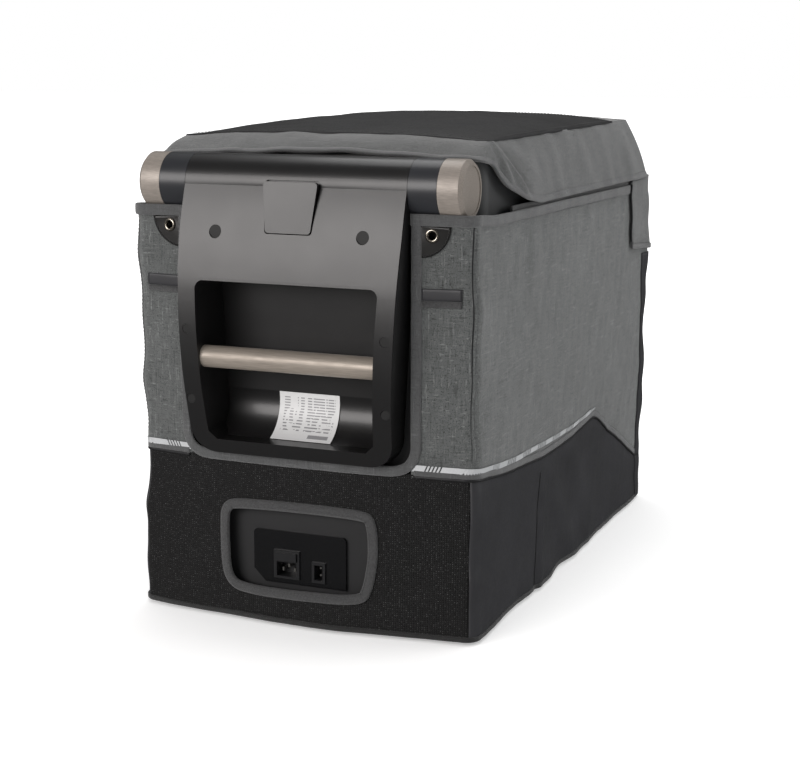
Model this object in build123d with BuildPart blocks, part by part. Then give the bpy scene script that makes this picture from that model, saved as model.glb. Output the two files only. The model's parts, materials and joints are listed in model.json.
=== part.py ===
"""Compressor cooler fridge in a fabric transit cover, as separate pieces.

Millimetres. X is the width, Y the length with the lid's hinge end at -Y, Z is up.
The origin is on the floor, at the middle of the footprint.
"""
from build123d import *
import os
from math import cos, radians, sin

# ---------------------------------------------------------------- driving dimensions
# Fabric transit cover
cover_half_width = 200.0
cover_half_length = 345.0  # at the vertical corner seams
cover_bow = 20.0  # the end walls stand out this much more at their middle
cover_thickness = 4.0
cover_corner = 16.0
cover_hem = 4.0
cover_rim = 452.0
strip_top = 447.5  # the end walls stop just under the hinge's round caps
cutout_half_width = 131.0  # opening round the end panels
cutout_bottom = 188.0
window_centre = (0.0, 87.0)
window_size = (158.0, 89.0)
eyelet_x = 153.0
eyelet_z = 435.0
eyelet_radius = 7.5
eyelet_hole_radius = 4.0
eyelet_barrel_y = 351.8
eyelet_flange_y = 355.3

# Insulated cabinet
cabinet_half_width = 186.0
cabinet_half_length = 318.0
skin = 1.6
floor_bottom = 10.0
floor_top = 13.0
foam_top = 436.0
rim_top = 446.0
foot_height = 10.0
foot_radius = 20.0
foot_x = 150.0
foot_y = 270.0

# Food compartment: a deep part and a shallow part over the compressor
tub_half_width = 150.0
tub_far = 280.0
tub_step = -75.0
tub_near = -275.0
tub_floor = 60.0
tub_shelf = 258.0
tub_wall = 2.0
tub_corner = 18.0

# Compressor bay, under the shallow part
bay_half_width = 176.0
bay_back = -110.0
bay_top = 222.0

# Moulded ends
frame_half_width = 189.0
frame_half_length = 338.0
frame_bow = 14.0
frame_wall = 3.0
frame_corner = 12.0
frame_top = 441.0
panel_wall = 3.5
panel_bottom = 191.0
panel_back = -340.0
panel_bulge = -390.0  # the panel's furthest point
panel_bulge_z = 320.0
panel_solid_from = 396.0
panel_corner = 28.0
panel_bottom_half = 117.3
panel_middle_half = 125.0
panel_middle_z = 340.0
panel_straight_from = 430.0  # the panel is as wide as the barrel from here up
panel_bottom_setback = 18.5  # the panel's bottom edge stands this far behind its bulge

# Handle recess and bar
recess_top = 380.5
recess_bottom = 206.5
recess_top_half = 106.5
recess_bottom_half = 97.0
recess_back = -327.0
recess_corner = 9.0
scoop_front = -352.0  # the recess floor curves up to its back from here
scoop_middle = (-334.0, 221.0)
scoop_top = 255.0
bar_radius = 12.0
bar_y = -374.0
bar_z = 297.0
bar_half_length = 108.0
bar_clearance = 0.05

# Lid hinge barrel
hinge_y = -331.5
hinge_z = 480.5
barrel_radius = 32.0
barrel_half = 128.5
knuckle_inner = 128.9
knuckle_outer = 160.5
cap_inner = 160.9
cap_outer = 187.5
cap_wall = 3.0
pin_radius = 6.0
pin_clearance = 0.05
pin_half_length = 178.0

# Lid
lid_half_width = 185.0
lid_near = -295.0
lid_far = 331.0
lid_bottom = 450.0
lid_top = 523.0
lid_wall = 3.8
lid_corner = 22.0
lid_edge_fillet = 14.0
lid_cover_top_z = 549.0
skirt_bottom = 456.0
skirt_top = 522.0

# Socket plate at the hinge end and control plate at the far end
plate_low = (-56.0, 46.0)
plate_high = (55.0, 105.0)
plate_front = -354.5
plate_back = -352.3
socket_front = -356.5
plate_lip = 6.0  # the plate overlaps its hole in the end wall by this much

# A cutter or a blank reaches this far, well past anything it meets
reach = 600.0

os.makedirs("parts", exist_ok=True)


def save(builder, name):
    """Label one finished piece and write it."""
    builder.part.label = name
    export_step(builder.part, f"parts/{name}.step")


def block(low, high, mode=Mode.ADD):
    """A box between two corners, added to the piece being built."""
    middle = [(a + b) / 2 for a, b in zip(low, high)]
    size = [b - a for a, b in zip(low, high)]
    with Locations(tuple(middle)):
        Box(*size, mode=mode)


def both_sides(low, high, mode=Mode.ADD):
    """The same box on the right and, mirrored, on the left."""
    block(low, high, mode)
    block((-high[0], low[1], low[2]), (-low[0], high[1], high[2]), mode)


def bar_along(direction, centre, radius, length, mode=Mode.ADD):
    """A cylinder about a centre, along "x", "y" or "z"."""
    normals = {"x": (1, 0, 0), "y": (0, 1, 0), "z": (0, 0, 1)}
    with Locations(Plane(origin=centre, z_dir=normals[direction])):
        Cylinder(radius, length, mode=mode)


def bowed_plan(half_width, half_length, bow, corner, height):
    """A rectangle seen from above whose two ends bow outwards."""
    with BuildSketch(Plane.XY.offset(height)) as plan:
        with BuildLine():
            near_end = ThreePointArc(
                (-half_width, -half_length), (0, -half_length - bow), (half_width, -half_length)
            )
            right = Line(near_end @ 1, (half_width, half_length))
            far_end = ThreePointArc(right @ 1, (0, half_length + bow), (-half_width, half_length))
            Line(far_end @ 1, near_end @ 0)
        make_face()
        fillet(plan.vertices(), corner)
    return plan.sketch


def rounded_plan(low, high, corner, height):
    """A rounded rectangle seen from above, between two corners."""
    centre = ((low[0] + high[0]) / 2, (low[1] + high[1]) / 2)
    with BuildSketch(Plane.XY.offset(height)) as plan:
        with Locations(centre):
            RectangleRounded(high[0] - low[0], high[1] - low[1], corner)
    return plan.sketch


def panel_face(z):
    """How far out (Y) the end panel's front stands at height z: two parabolas about its bulge."""
    if z > panel_bulge_z:
        rise = (z - panel_bulge_z) / (hinge_z - panel_bulge_z)
        return panel_bulge + (hinge_y - barrel_radius - panel_bulge) * rise**2
    drop = (panel_bulge_z - z) / (panel_bulge_z - panel_bottom)
    return panel_bulge + panel_bottom_setback * drop**2


def panel_front(inset, top):
    """The panel seen from its front: tapered, with rounded bottom corners."""
    bottom_half = panel_bottom_half - inset
    middle_half = panel_middle_half - inset
    top_half = barrel_half - inset
    with BuildSketch(Plane.XZ) as front:
        with BuildLine():
            Polyline(
                (-bottom_half, panel_bottom + inset),
                (bottom_half, panel_bottom + inset),
                (middle_half, panel_middle_z),
                (top_half, panel_straight_from),
                (top_half, top),
                (-top_half, top),
                (-top_half, panel_straight_from),
                (-middle_half, panel_middle_z),
                close=True,
            )
        make_face()
        fillet(front.vertices().group_by(Axis.Y)[0], panel_corner - inset)
    return front.sketch


def panel_side(inset, bottom, top, back):
    """The panel seen from its side, from its curved front to a flat back."""
    steps = 7
    heights = [bottom + (top - bottom) * i / steps for i in range(steps + 1)]
    face = [(panel_face(z) + inset, z) for z in heights]
    with BuildSketch(Plane.YZ) as side:
        with BuildLine():
            Spline(*face)
            Polyline(face[-1], (back, top), (back, bottom), face[0])
        make_face()
    return side.sketch


def recess_front(grow):
    """The handle recess seen from the front."""
    with BuildSketch(Plane.XZ) as front:
        with BuildLine():
            Polyline(
                (-recess_bottom_half - grow, recess_bottom - grow),
                (recess_bottom_half + grow, recess_bottom - grow),
                (recess_top_half + grow, recess_top + grow),
                (-recess_top_half - grow, recess_top + grow),
                close=True,
            )
        make_face()
        fillet(front.vertices().group_by(Axis.Y)[-1], recess_corner + grow)
        chamfer(front.vertices().group_by(Axis.Y)[0], recess_corner)
    return front.sketch


def recess_side(grow, front_y):
    """The handle recess seen from the side: a flat back that scoops forward at the bottom."""
    with BuildSketch(Plane.YZ) as side:
        with BuildLine():
            floor = Line((front_y, recess_bottom - grow), (scoop_front, recess_bottom - grow))
            diagonal = grow * cos(radians(45))
            scoop = ThreePointArc(
                floor @ 1,
                (scoop_middle[0] + diagonal, scoop_middle[1] - diagonal),
                (recess_back + grow, scoop_top),
            )
            Polyline(
                scoop @ 1,
                (recess_back + grow, recess_top + grow),
                (front_y, recess_top + grow),
                floor @ 0,
            )
        make_face()
    return side.sketch


def handle_panel(top, plugs):
    """The hollow moulded end panel with its handle recess, made at the hinge end."""
    with BuildPart() as cavity:
        extrude(panel_side(panel_wall, panel_bottom + panel_wall, panel_solid_from, panel_back + 1),
                amount=barrel_half, both=True)
        extrude(panel_front(panel_wall, top), amount=reach, mode=Mode.INTERSECT)
    with BuildPart() as tub:
        extrude(recess_side(frame_wall, panel_bulge - 5), amount=barrel_half, both=True)
        extrude(recess_front(frame_wall), amount=reach, mode=Mode.INTERSECT)
        extrude(panel_side(0, panel_bottom, top, recess_back + 10),
                amount=barrel_half, both=True, mode=Mode.INTERSECT)
    with BuildPart() as hollow:
        extrude(recess_side(0, -reach), amount=barrel_half, both=True)
        extrude(recess_front(0), amount=reach, mode=Mode.INTERSECT)
    with BuildPart() as panel:
        extrude(panel_side(0, panel_bottom, top, panel_back), amount=barrel_half, both=True)
        extrude(panel_front(0, top), amount=reach, mode=Mode.INTERSECT)
        add(cavity.part, mode=Mode.SUBTRACT)
        add(tub.part)
        add(hollow.part, mode=Mode.SUBTRACT)
        bar_along("x", (0, bar_y, bar_z), bar_radius + bar_clearance, 2 * bar_half_length, Mode.SUBTRACT)
        for x, z, radius in plugs:
            for side in (-1, 1):
                pocket = (side * x, panel_face(z) - plug_depth / 2, z)
                bar_along("y", pocket, radius + plug_gap, 3 * plug_depth, Mode.SUBTRACT)
    return panel.part


def end_frame():
    """The moulded end wall of the cabinet, bowed like the cover, open where the panel sits."""
    panel_gap = 0.6
    panel_hole = offset(panel_front(0, frame_top + 35), panel_gap)
    with BuildPart() as frame:
        extrude(bowed_plan(frame_half_width, frame_half_length, frame_bow, frame_corner, floor_bottom),
                amount=frame_top - floor_bottom)
        extrude(bowed_plan(frame_half_width - frame_wall, frame_half_length - frame_wall, frame_bow,
                           frame_corner - frame_wall, floor_bottom),
                amount=frame_top - frame_wall - floor_bottom, mode=Mode.SUBTRACT)
        block((-frame_half_width, -reach, 0), (frame_half_width, -cabinet_half_length - 0.3, reach),
              Mode.INTERSECT)
        extrude(panel_hole, amount=reach, mode=Mode.SUBTRACT)
        block((plate_low[0] + plate_lip, -reach, plate_low[1] + plate_lip),
              (plate_high[0] - plate_lip, -frame_half_length, plate_high[1] - plate_lip), Mode.SUBTRACT)
    return frame.part


def half_turn(part):
    """The same piece at the other end."""
    return part.rotate(Axis.Z, 180)


# ---------------------------------------------------------------- cabinet
vent_y = -215.0
vent_rows = 8
vent_spacing = 16.0
vent_length = 200.0
vent_width = 6.0
with BuildPart() as base_tray:
    block((-cabinet_half_width, -cabinet_half_length, floor_bottom),
          (cabinet_half_width, cabinet_half_length, floor_top))
    with Locations((0, vent_y, floor_top)):
        with GridLocations(vent_length, vent_spacing, 1, vent_rows):
            Box(vent_length, vent_width, 2 * floor_top, mode=Mode.SUBTRACT)
save(base_tray, "base_tray")

with BuildPart() as rubber_feet:
    with Locations((0, 0, foot_height / 2)):
        with GridLocations(2 * foot_x, 2 * foot_y, 2, 2):
            Cylinder(foot_radius, foot_height)
    chamfer(rubber_feet.edges().group_by(Axis.Z)[0], 2)
save(rubber_feet, "rubber_feet")

with BuildPart() as cabinet_sides:
    both_sides((cabinet_half_width + 0.2, -cabinet_half_length, floor_top),
               (cabinet_half_width + skin, cabinet_half_length, foam_top))
save(cabinet_sides, "cabinet_sides")


def tub_solid(grow, top):
    """The stepped food compartment as one block, larger all round by grow."""
    low = -tub_half_width - grow
    high = tub_half_width + grow
    corner = tub_corner + grow
    with BuildPart() as tub:
        extrude(rounded_plan((low, tub_step - grow), (high, tub_far + grow), corner, tub_floor - grow),
                amount=top - tub_floor + grow)
        extrude(rounded_plan((low, tub_near - grow), (high, tub_far + grow), corner, tub_shelf - grow),
                amount=top - tub_shelf + grow)
    return tub.part


tub_space = tub_solid(0, foam_top + 1)
tub_outside = tub_solid(tub_wall, foam_top)
foam_pocket = tub_solid(tub_wall + 0.2, foam_top + 1)

with BuildPart() as tub_liner:
    add(tub_outside)
    add(tub_space, mode=Mode.SUBTRACT)
save(tub_liner, "tub_liner")

evaporator_low = 110.0
evaporator_high = 400.0
evaporator_gap = 2.4
evaporator_sheet = 1.6
evaporator_near = -45.0  # it wraps the deep part's sides and far wall from here
with BuildPart() as evaporator:
    for grow, mode in ((evaporator_gap + evaporator_sheet, Mode.ADD), (evaporator_gap, Mode.SUBTRACT)):
        extrude(rounded_plan((-tub_half_width - grow, tub_step - grow),
                             (tub_half_width + grow, tub_far + grow), tub_corner + grow, evaporator_low),
                amount=evaporator_high - evaporator_low, mode=mode)
    block((-reach, -reach, 0), (reach, evaporator_near, reach), Mode.SUBTRACT)
save(evaporator, "evaporator")

with BuildPart() as insulation_foam:
    block((-cabinet_half_width, -cabinet_half_length, floor_top),
          (cabinet_half_width, cabinet_half_length, foam_top))
    add(foam_pocket, mode=Mode.SUBTRACT)
    sheet_room = evaporator_gap + evaporator_sheet + 0.2
    extrude(rounded_plan((-tub_half_width - sheet_room, tub_step - 2.2),
                         (tub_half_width + sheet_room, tub_far + sheet_room),
                         tub_corner + sheet_room, evaporator_low - 0.2),
            amount=evaporator_high - evaporator_low + 0.4, mode=Mode.SUBTRACT)
    block((-bay_half_width, -cabinet_half_length - 1, floor_top - 1),
          (bay_half_width, bay_back, bay_top), Mode.SUBTRACT)
save(insulation_foam, "insulation_foam")

keeper_half = 20.0
keeper_depth = 4.0
with BuildPart() as top_rim:
    block((-cabinet_half_width - skin, -cabinet_half_length, foam_top + 0.1),
          (cabinet_half_width + skin, cabinet_half_length, rim_top))
    extrude(rounded_plan((-tub_half_width, tub_near), (tub_half_width, tub_far), tub_corner, foam_top),
            amount=rim_top, mode=Mode.SUBTRACT)
    block((-keeper_half, cabinet_half_length, foam_top + 0.1),
          (keeper_half, cabinet_half_length + keeper_depth, rim_top))
save(top_rim, "top_rim")

# ---------------------------------------------------------------- moulded ends
hinge_plugs = ((85.4, 432.0, 7.0), (115.0, 328.0, 5.0), (114.0, 251.0, 5.0))  # x, z, radius
control_plugs = ((85.4, 412.0, 7.0), (115.0, 328.0, 5.0), (114.0, 251.0, 5.0))
plug_depth = 2.0
plug_gap = 0.2
tab_top = 486.0
tab_bottom = 433.0
tab_top_half = 31.6
tab_bottom_half = 26.0
tab_gap = 1.2
tab_thickness = 4.0
tab_front_bottom = -378.4  # the tab's front, 3 mm below its bottom edge
tab_front_top = -369.2  # and 3 mm above its top edge
tab_pocket_depth = 9.5
tab_pivot_y = -371.5
tab_pivot_z = 439.0
tab_pin_radius = 1.5
tab_pin_bore = 1.55
tab_boss_radius = 3.2
tab_pin_half = 33.0
barrel_wall = 6.0
chamber_x = 64.0  # the barrel's two hollow chambers
chamber_length = 118.0
chamber_core = 10.0

hinge_frame_blank = end_frame()
with BuildPart() as hinge_end_frame:
    add(hinge_frame_blank)
save(hinge_end_frame, "hinge_end_frame")

with BuildPart() as control_end_frame:
    add(half_turn(hinge_frame_blank))
save(control_end_frame, "control_end_frame")

panel_blank = handle_panel(hinge_z, hinge_plugs)


def tab_outline(grow):
    """The release tab seen from the front, larger all round by grow."""
    with BuildSketch(Plane.XZ) as outline:
        with BuildLine():
            Polyline(
                (-tab_bottom_half - grow, tab_bottom - grow),
                (tab_bottom_half + grow, tab_bottom - grow),
                (tab_top_half + grow, tab_top + grow),
                (-tab_top_half - grow, tab_top + grow),
                close=True,
            )
        make_face()
        fillet(outline.vertices(), 4)
    return outline.sketch


def tab_profile(front, back):
    """The release tab seen from the side, as a slanted plate between two depths."""
    with BuildSketch(Plane.YZ) as profile:
        with BuildLine():
            Polyline(
                (tab_front_bottom + front, tab_bottom - 3),
                (tab_front_top + front, tab_top + 3),
                (tab_front_top + back, tab_top + 3),
                (tab_front_bottom + back, tab_bottom - 3),
                close=True,
            )
        make_face()
    return profile.sketch


with BuildPart() as tab_pocket:
    extrude(tab_profile(-20, tab_pocket_depth), amount=2 * tab_top_half, both=True)
    extrude(tab_outline(tab_gap), amount=reach, mode=Mode.INTERSECT)

with BuildPart() as hinge_end_panel:
    add(panel_blank)
    bar_along("x", (0, hinge_y, hinge_z), barrel_radius, 2 * barrel_half)
    add(tab_pocket.part, mode=Mode.SUBTRACT)
    bar_along("x", (0, tab_pivot_y, tab_pivot_z), tab_pin_bore, 2 * tab_pin_half + 2, Mode.SUBTRACT)
    for side in (-1, 1):
        chamber = (side * chamber_x, hinge_y, hinge_z)
        bar_along("x", chamber, barrel_radius - barrel_wall, chamber_length, Mode.SUBTRACT)
        bar_along("x", chamber, chamber_core, chamber_length)
    bar_along("x", (0, hinge_y, hinge_z), pin_radius + pin_clearance, 2 * barrel_half + 2, Mode.SUBTRACT)
save(hinge_end_panel, "hinge_end_panel")

with BuildPart() as release_tab:
    extrude(tab_profile(0, tab_thickness), amount=2 * tab_top_half, both=True)
    extrude(tab_outline(0), amount=reach, mode=Mode.INTERSECT)
    bar_along("x", (0, tab_pivot_y, tab_pivot_z), tab_boss_radius, 2 * tab_bottom_half - 4)
    bar_along("x", (0, tab_pivot_y, tab_pivot_z), tab_pin_bore, 2 * tab_pin_half, Mode.SUBTRACT)
save(release_tab, "release_tab")

with BuildPart() as release_tab_pin:
    bar_along("x", (0, tab_pivot_y, tab_pivot_z), tab_pin_radius, 2 * tab_pin_half)
save(release_tab_pin, "release_tab_pin")

control_panel_top = 440.0
control_panel_edge = 16.0
latch_pocket_half = 38.0
latch_pocket_bottom = 402.0
with BuildPart() as control_end_panel:
    add(half_turn(handle_panel(control_panel_top, control_plugs)))
    top_edges = control_end_panel.edges().filter_by(Axis.X).group_by(Axis.Z)[-1]
    fillet(top_edges.sort_by(Axis.Y)[-1], control_panel_edge)
    block((-latch_pocket_half, 0, latch_pocket_bottom), (latch_pocket_half, reach, reach), Mode.SUBTRACT)
save(control_end_panel, "control_end_panel")

for end, name in ((1, "hinge_handle_bar"), (-1, "control_handle_bar")):
    with BuildPart() as handle_bar:
        bar_along("x", (0, end * bar_y, bar_z), bar_radius, 2 * bar_half_length - 1)
    save(handle_bar, name)

with BuildPart() as panel_screw_plugs:
    for end, plugs in ((-1, hinge_plugs), (1, control_plugs)):
        for x, z, radius in plugs:
            for side in (-1, 1):
                back = -panel_face(z) - plug_depth
                bar_along("y", (side * x, end * (back + plug_depth / 2 - 0.2), z), radius, plug_depth - 0.6)
save(panel_screw_plugs, "panel_screw_plugs")

# The label lies on the scoop at the bottom of the hinge end's recess
label_half_width = 36.0
with BuildPart() as rating_label:
    with BuildSketch(Plane.YZ) as label_side:
        with BuildLine():
            front_edge = ThreePointArc((-352.3, 207.1), (-334.6, 221.5), (-327.5, 255))
            back_edge = ThreePointArc((-327.9, 255), (-335.0, 221.9), (-352.3, 207.5))
            Line(front_edge @ 0, back_edge @ 1)
            Line(front_edge @ 1, back_edge @ 0)
        make_face()
    extrude(amount=label_half_width, both=True)
save(rating_label, "rating_label")

# ---------------------------------------------------------------- lid hinge
with BuildPart() as hinge_pin:
    bar_along("x", (0, hinge_y, hinge_z), pin_radius, 2 * pin_half_length)
save(hinge_pin, "hinge_pin")

leg_near = -343.0
leg_far = -320.0
leg_top = 462.0
with BuildPart() as hinge_bearing_blocks:
    for side in (-1, 1):
        middle = side * (cap_inner + cap_outer - cap_wall - 1) / 2
        width = cap_outer - cap_inner - cap_wall - 1
        bar_along("x", (middle, hinge_y, hinge_z), barrel_radius - cap_wall - 0.3, width)
        bar_along("x", (middle, hinge_y, hinge_z), pin_radius + pin_clearance, width + 2, Mode.SUBTRACT)
        block((middle - width / 2, leg_near, frame_top + 0.1), (middle + width / 2, leg_far, leg_top))
save(hinge_bearing_blocks, "hinge_bearing_blocks")

cap_chamfer = 4.0
cap_recess_radius = barrel_radius - 7
leg_slot_inner = 160.0
leg_slot_outer = 184.2
for side, name in ((-1, "barrel_cap_left"), (1, "barrel_cap_right")):
    outer_face = side * cap_outer
    with BuildPart() as barrel_cap:
        bar_along("x", (side * (cap_inner + cap_outer) / 2, hinge_y, hinge_z), barrel_radius,
                  cap_outer - cap_inner)
        chamfer(barrel_cap.faces().sort_by(Axis.X)[-1 if side > 0 else 0].edges(), cap_chamfer)
        bar_along("x", (side * (cap_inner + cap_outer - 2 * cap_wall) / 2, hinge_y, hinge_z),
                  barrel_radius - cap_wall, cap_outer - cap_inner, Mode.SUBTRACT)
        bar_along("x", (outer_face, hinge_y, hinge_z), cap_recess_radius, 2, Mode.SUBTRACT)
        slot_ends = sorted((side * leg_slot_inner, side * leg_slot_outer))
        block((slot_ends[0], leg_near - 0.2, frame_top - 1), (slot_ends[1], leg_far + 0.2, leg_top + 8),
              Mode.SUBTRACT)
    save(barrel_cap, name)

arm_bottom = 460.0  # each knuckle's arm runs back to the lid
arm_top = 506.0
with BuildPart() as hinge_knuckles:
    for side in (-1, 1):
        middle = side * (knuckle_inner + knuckle_outer) / 2
        width = knuckle_outer - knuckle_inner
        bar_along("x", (middle, hinge_y, hinge_z), barrel_radius, width)
        block((middle - width / 2, hinge_y, arm_bottom), (middle + width / 2, lid_near - 0.1, arm_top))
        bar_along("x", (middle, hinge_y, hinge_z), pin_radius + pin_clearance + 0.01, width + 2,
                  Mode.SUBTRACT)
save(hinge_knuckles, "hinge_knuckles")

# ---------------------------------------------------------------- lid
with BuildPart() as lid_shell:
    extrude(rounded_plan((-lid_half_width, lid_near), (lid_half_width, lid_far), lid_corner, lid_bottom),
            amount=lid_top - lid_bottom)
    fillet(lid_shell.edges().group_by(Axis.Z)[-1], lid_edge_fillet)
    extrude(rounded_plan((-lid_half_width + lid_wall, lid_near + lid_wall),
                         (lid_half_width - lid_wall, lid_far - lid_wall),
                         lid_corner - lid_wall, lid_bottom),
            amount=lid_top - lid_edge_fillet - lid_bottom, mode=Mode.SUBTRACT)
save(lid_shell, "lid_shell")

inside_gap = lid_wall + 0.3
with BuildPart() as lid_foam:
    extrude(rounded_plan((-lid_half_width + inside_gap, lid_near + inside_gap),
                         (lid_half_width - inside_gap, lid_far - inside_gap),
                         lid_corner - inside_gap, lid_bottom + 3),
            amount=lid_top - lid_edge_fillet - 0.3 - lid_bottom - 3)
save(lid_foam, "lid_foam")

plug_half_width = 140.0
plug_near = -262.0
plug_far = 266.0
plug_bottom = 438.0
plug_corner = 20.0
liner_wall = 2.5
liner_flange = 2.8
with BuildPart() as lid_liner:
    extrude(rounded_plan((-lid_half_width + inside_gap, lid_near + inside_gap),
                         (lid_half_width - inside_gap, lid_far - inside_gap),
                         lid_corner - inside_gap, lid_bottom),
            amount=liner_flange)
    extrude(rounded_plan((-plug_half_width, plug_near), (plug_half_width, plug_far),
                         plug_corner, plug_bottom),
            amount=lid_bottom - plug_bottom)
    extrude(rounded_plan((-plug_half_width + liner_wall, plug_near + liner_wall),
                         (plug_half_width - liner_wall, plug_far - liner_wall), plug_corner - liner_wall,
                         plug_bottom + liner_wall),
            amount=liner_flange + lid_bottom - plug_bottom, mode=Mode.SUBTRACT)
save(lid_liner, "lid_liner")

gasket_half_width = 169.0
gasket_near = -290.0
gasket_far = 296.0
gasket_corner = 26.0
gasket_width = 11.0
gasket_height = 3.7
with BuildPart() as lid_gasket:
    extrude(rounded_plan((-gasket_half_width, gasket_near), (gasket_half_width, gasket_far),
                         gasket_corner, rim_top + 0.2), amount=gasket_height)
    extrude(rounded_plan((-gasket_half_width + gasket_width, gasket_near + gasket_width),
                         (gasket_half_width - gasket_width, gasket_far - gasket_width),
                         gasket_corner - gasket_width, rim_top + 0.2),
            amount=gasket_height, mode=Mode.SUBTRACT)
save(lid_gasket, "lid_gasket")

# Latch: a paddle on the lid whose hook stands just clear of the keeper on the rim
latch_y = 347.0
latch_z = 465.0
latch_half = 25.0
latch_pin_radius = 2.5
latch_bottom = 406.0
latch_back = latch_y - 3
latch_front = latch_y + 4
hook_half = 15.0
hook_tip = 324.0
bracket_half = 34.0
with BuildPart() as latch_bracket:
    block((-bracket_half, lid_far + 0.1, lid_bottom + 4), (bracket_half, lid_far + 3, 500))
    both_sides((latch_half + 1, lid_far + 3, 456), (latch_half + 6, 353, 474))
    bar_along("x", (0, latch_y, latch_z), latch_pin_radius + pin_clearance, 80, Mode.SUBTRACT)
save(latch_bracket, "latch_bracket")

with BuildPart() as latch_pin:
    bar_along("x", (0, latch_y, latch_z), latch_pin_radius, 64)
save(latch_pin, "latch_pin")

with BuildPart() as latch_lever:
    bar_along("x", (0, latch_y, latch_z), 5, 2 * latch_half)
    block((-latch_half, latch_back, latch_bottom), (latch_half, latch_front, latch_z))
    block((-latch_half, latch_front, latch_bottom), (latch_half, latch_front + 10, latch_bottom + 5))
    block((-hook_half, hook_tip, 428), (hook_half, latch_back, 434))
    bar_along("x", (0, latch_y, latch_z), latch_pin_radius + pin_clearance + 0.01, 80, Mode.SUBTRACT)
save(latch_lever, "latch_lever")

# ---------------------------------------------------------------- sockets and controls
with BuildPart() as inlet_plate:
    block((plate_low[0], plate_front, plate_low[1]), (plate_high[0], plate_back, plate_high[1]))
    chamfer(inlet_plate.edges().filter_by(Axis.Y).group_by(Axis.Z)[0].sort_by(Axis.X)[0], 14)
    fillet(inlet_plate.edges().filter_by(Axis.Y).group_by(Axis.Z)[-1], 5)
    block((-30.1, -360, 52.9), (-0.9, -340, 83.1), Mode.SUBTRACT)
    block((15.9, -360, 52.4), (30.1, -340, 73.6), Mode.SUBTRACT)
save(inlet_plate, "inlet_plate")

with BuildPart() as ac_inlet:
    block((-31, socket_front, 52), (0, plate_front, 84))
    block((-29.9, plate_front, 53.1), (-1.1, -326, 82.9))
    block((-27.5, -360, 54.7), (-3.5, -340, 70.7), Mode.SUBTRACT)
    block((-28, -360, 72.5), (-3, -334, 81.5), Mode.SUBTRACT)
save(ac_inlet, "ac_inlet")

with BuildPart() as dc_inlet:
    block((15, socket_front, 51.5), (31, plate_front, 74.5))
    block((16.1, plate_front, 52.6), (29.9, -330, 73.4))
    block((18, -360, 54.5), (28, -342, 71.5), Mode.SUBTRACT)
save(dc_inlet, "dc_inlet")

with BuildPart() as inlet_pins:
    for x, z in ((-22.5, 61.0), (-8.5, 61.0), (-15.5, 65.5)):
        block((x - 1, -350, z - 2), (x + 1, -340, z + 2))
    for z in (59.0, 67.0):
        bar_along("y", (23, -346, z), 1.2, 8)
save(inlet_pins, "inlet_pins")

with BuildPart() as fuse_drawer:
    block((-27.7, -357, 72.8), (-3.3, -336, 81.2))
    block((-28, -359, 72.5), (-3, -357, 81.5))
    block((-26.5, -351, 74), (-4.5, -343, 82), Mode.SUBTRACT)
save(fuse_drawer, "fuse_drawer")

with BuildPart() as fuse:
    bar_along("x", (-15.5, -347, 76.8), 2.5, 20)
save(fuse, "fuse")

button_x = (14.0, 24.0, 34.0, 44.0)
button_names = ("button_power", "button_menu", "button_down", "button_up")
button_z = 78.0
button_radius = 4.0
with BuildPart() as control_plate:
    block((plate_low[0], -plate_back, plate_low[1]), (-plate_low[0], -plate_front, plate_high[1]))
    block((-46, -plate_back + 1, 60), (2, 360, 96), Mode.SUBTRACT)
    for x in button_x:
        bar_along("y", (x, 354, button_z), button_radius + 0.3, 12, Mode.SUBTRACT)
save(control_plate, "control_plate")

with BuildPart() as display_window:
    block((-45.8, -plate_back + 1, 60.2), (1.8, -plate_front - 0.2, 95.8))
save(display_window, "display_window")

for x, name in zip(button_x, button_names):
    with BuildPart() as button:
        bar_along("y", (x, 352.5, button_z), button_radius, 8)
        fillet(button.faces().sort_by(Axis.Y)[-1].edges(), 1)
    save(button, name)

# ---------------------------------------------------------------- cooling unit in the bay
compressor_x = -70.0
compressor_y = -200.0
compressor_radius = 50.0
with BuildPart() as compressor:
    bar_along("z", (compressor_x, compressor_y, 90), compressor_radius, 125)
    fillet(compressor.edges().group_by(Axis.Z)[-1], 24)
    fillet(compressor.edges().group_by(Axis.Z)[0], 6)
    block((-135, -255, 21.2), (-5, -145, 29))
save(compressor, "compressor")

mount_top = 21.0
mount_radius = 9.0
with BuildPart() as compressor_mounts:
    with Locations((compressor_x, compressor_y, (floor_top + mount_top) / 2 + 0.1)):
        with GridLocations(110, 90, 2, 2):
            Cylinder(mount_radius, mount_top - floor_top - 0.2)
save(compressor_mounts, "compressor_mounts")

condenser_centre = (105.0, -165.0, 105.0)
fin_count = 15
fin_spacing = 8.0
fin_size = (1.2, 26.0, 130.0)
tube_radius = 4.0
tube_spacing = 25.0
with BuildPart() as condenser:
    with Locations(condenser_centre):
        with GridLocations(fin_spacing, 10, fin_count, 1):
            Box(*fin_size)
    for row in (-2, -1, 0, 1, 2):
        tube_centre = (condenser_centre[0], condenser_centre[1], condenser_centre[2] + row * tube_spacing)
        bar_along("x", tube_centre, tube_radius, 124)
save(condenser, "condenser")

fan_centre = (105.0, -215.0, 105.0)
with BuildPart() as fan_frame:
    block((45, -227, 45), (165, -203, 165))
    bar_along("y", fan_centre, 56, 40, Mode.SUBTRACT)
    block((45, -206, 102), (165, -203, 108))
    block((102, -206, 45), (108, -203, 165))
    bar_along("y", (105, -206, 105), 18, 6)
save(fan_frame, "fan_frame")

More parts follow.
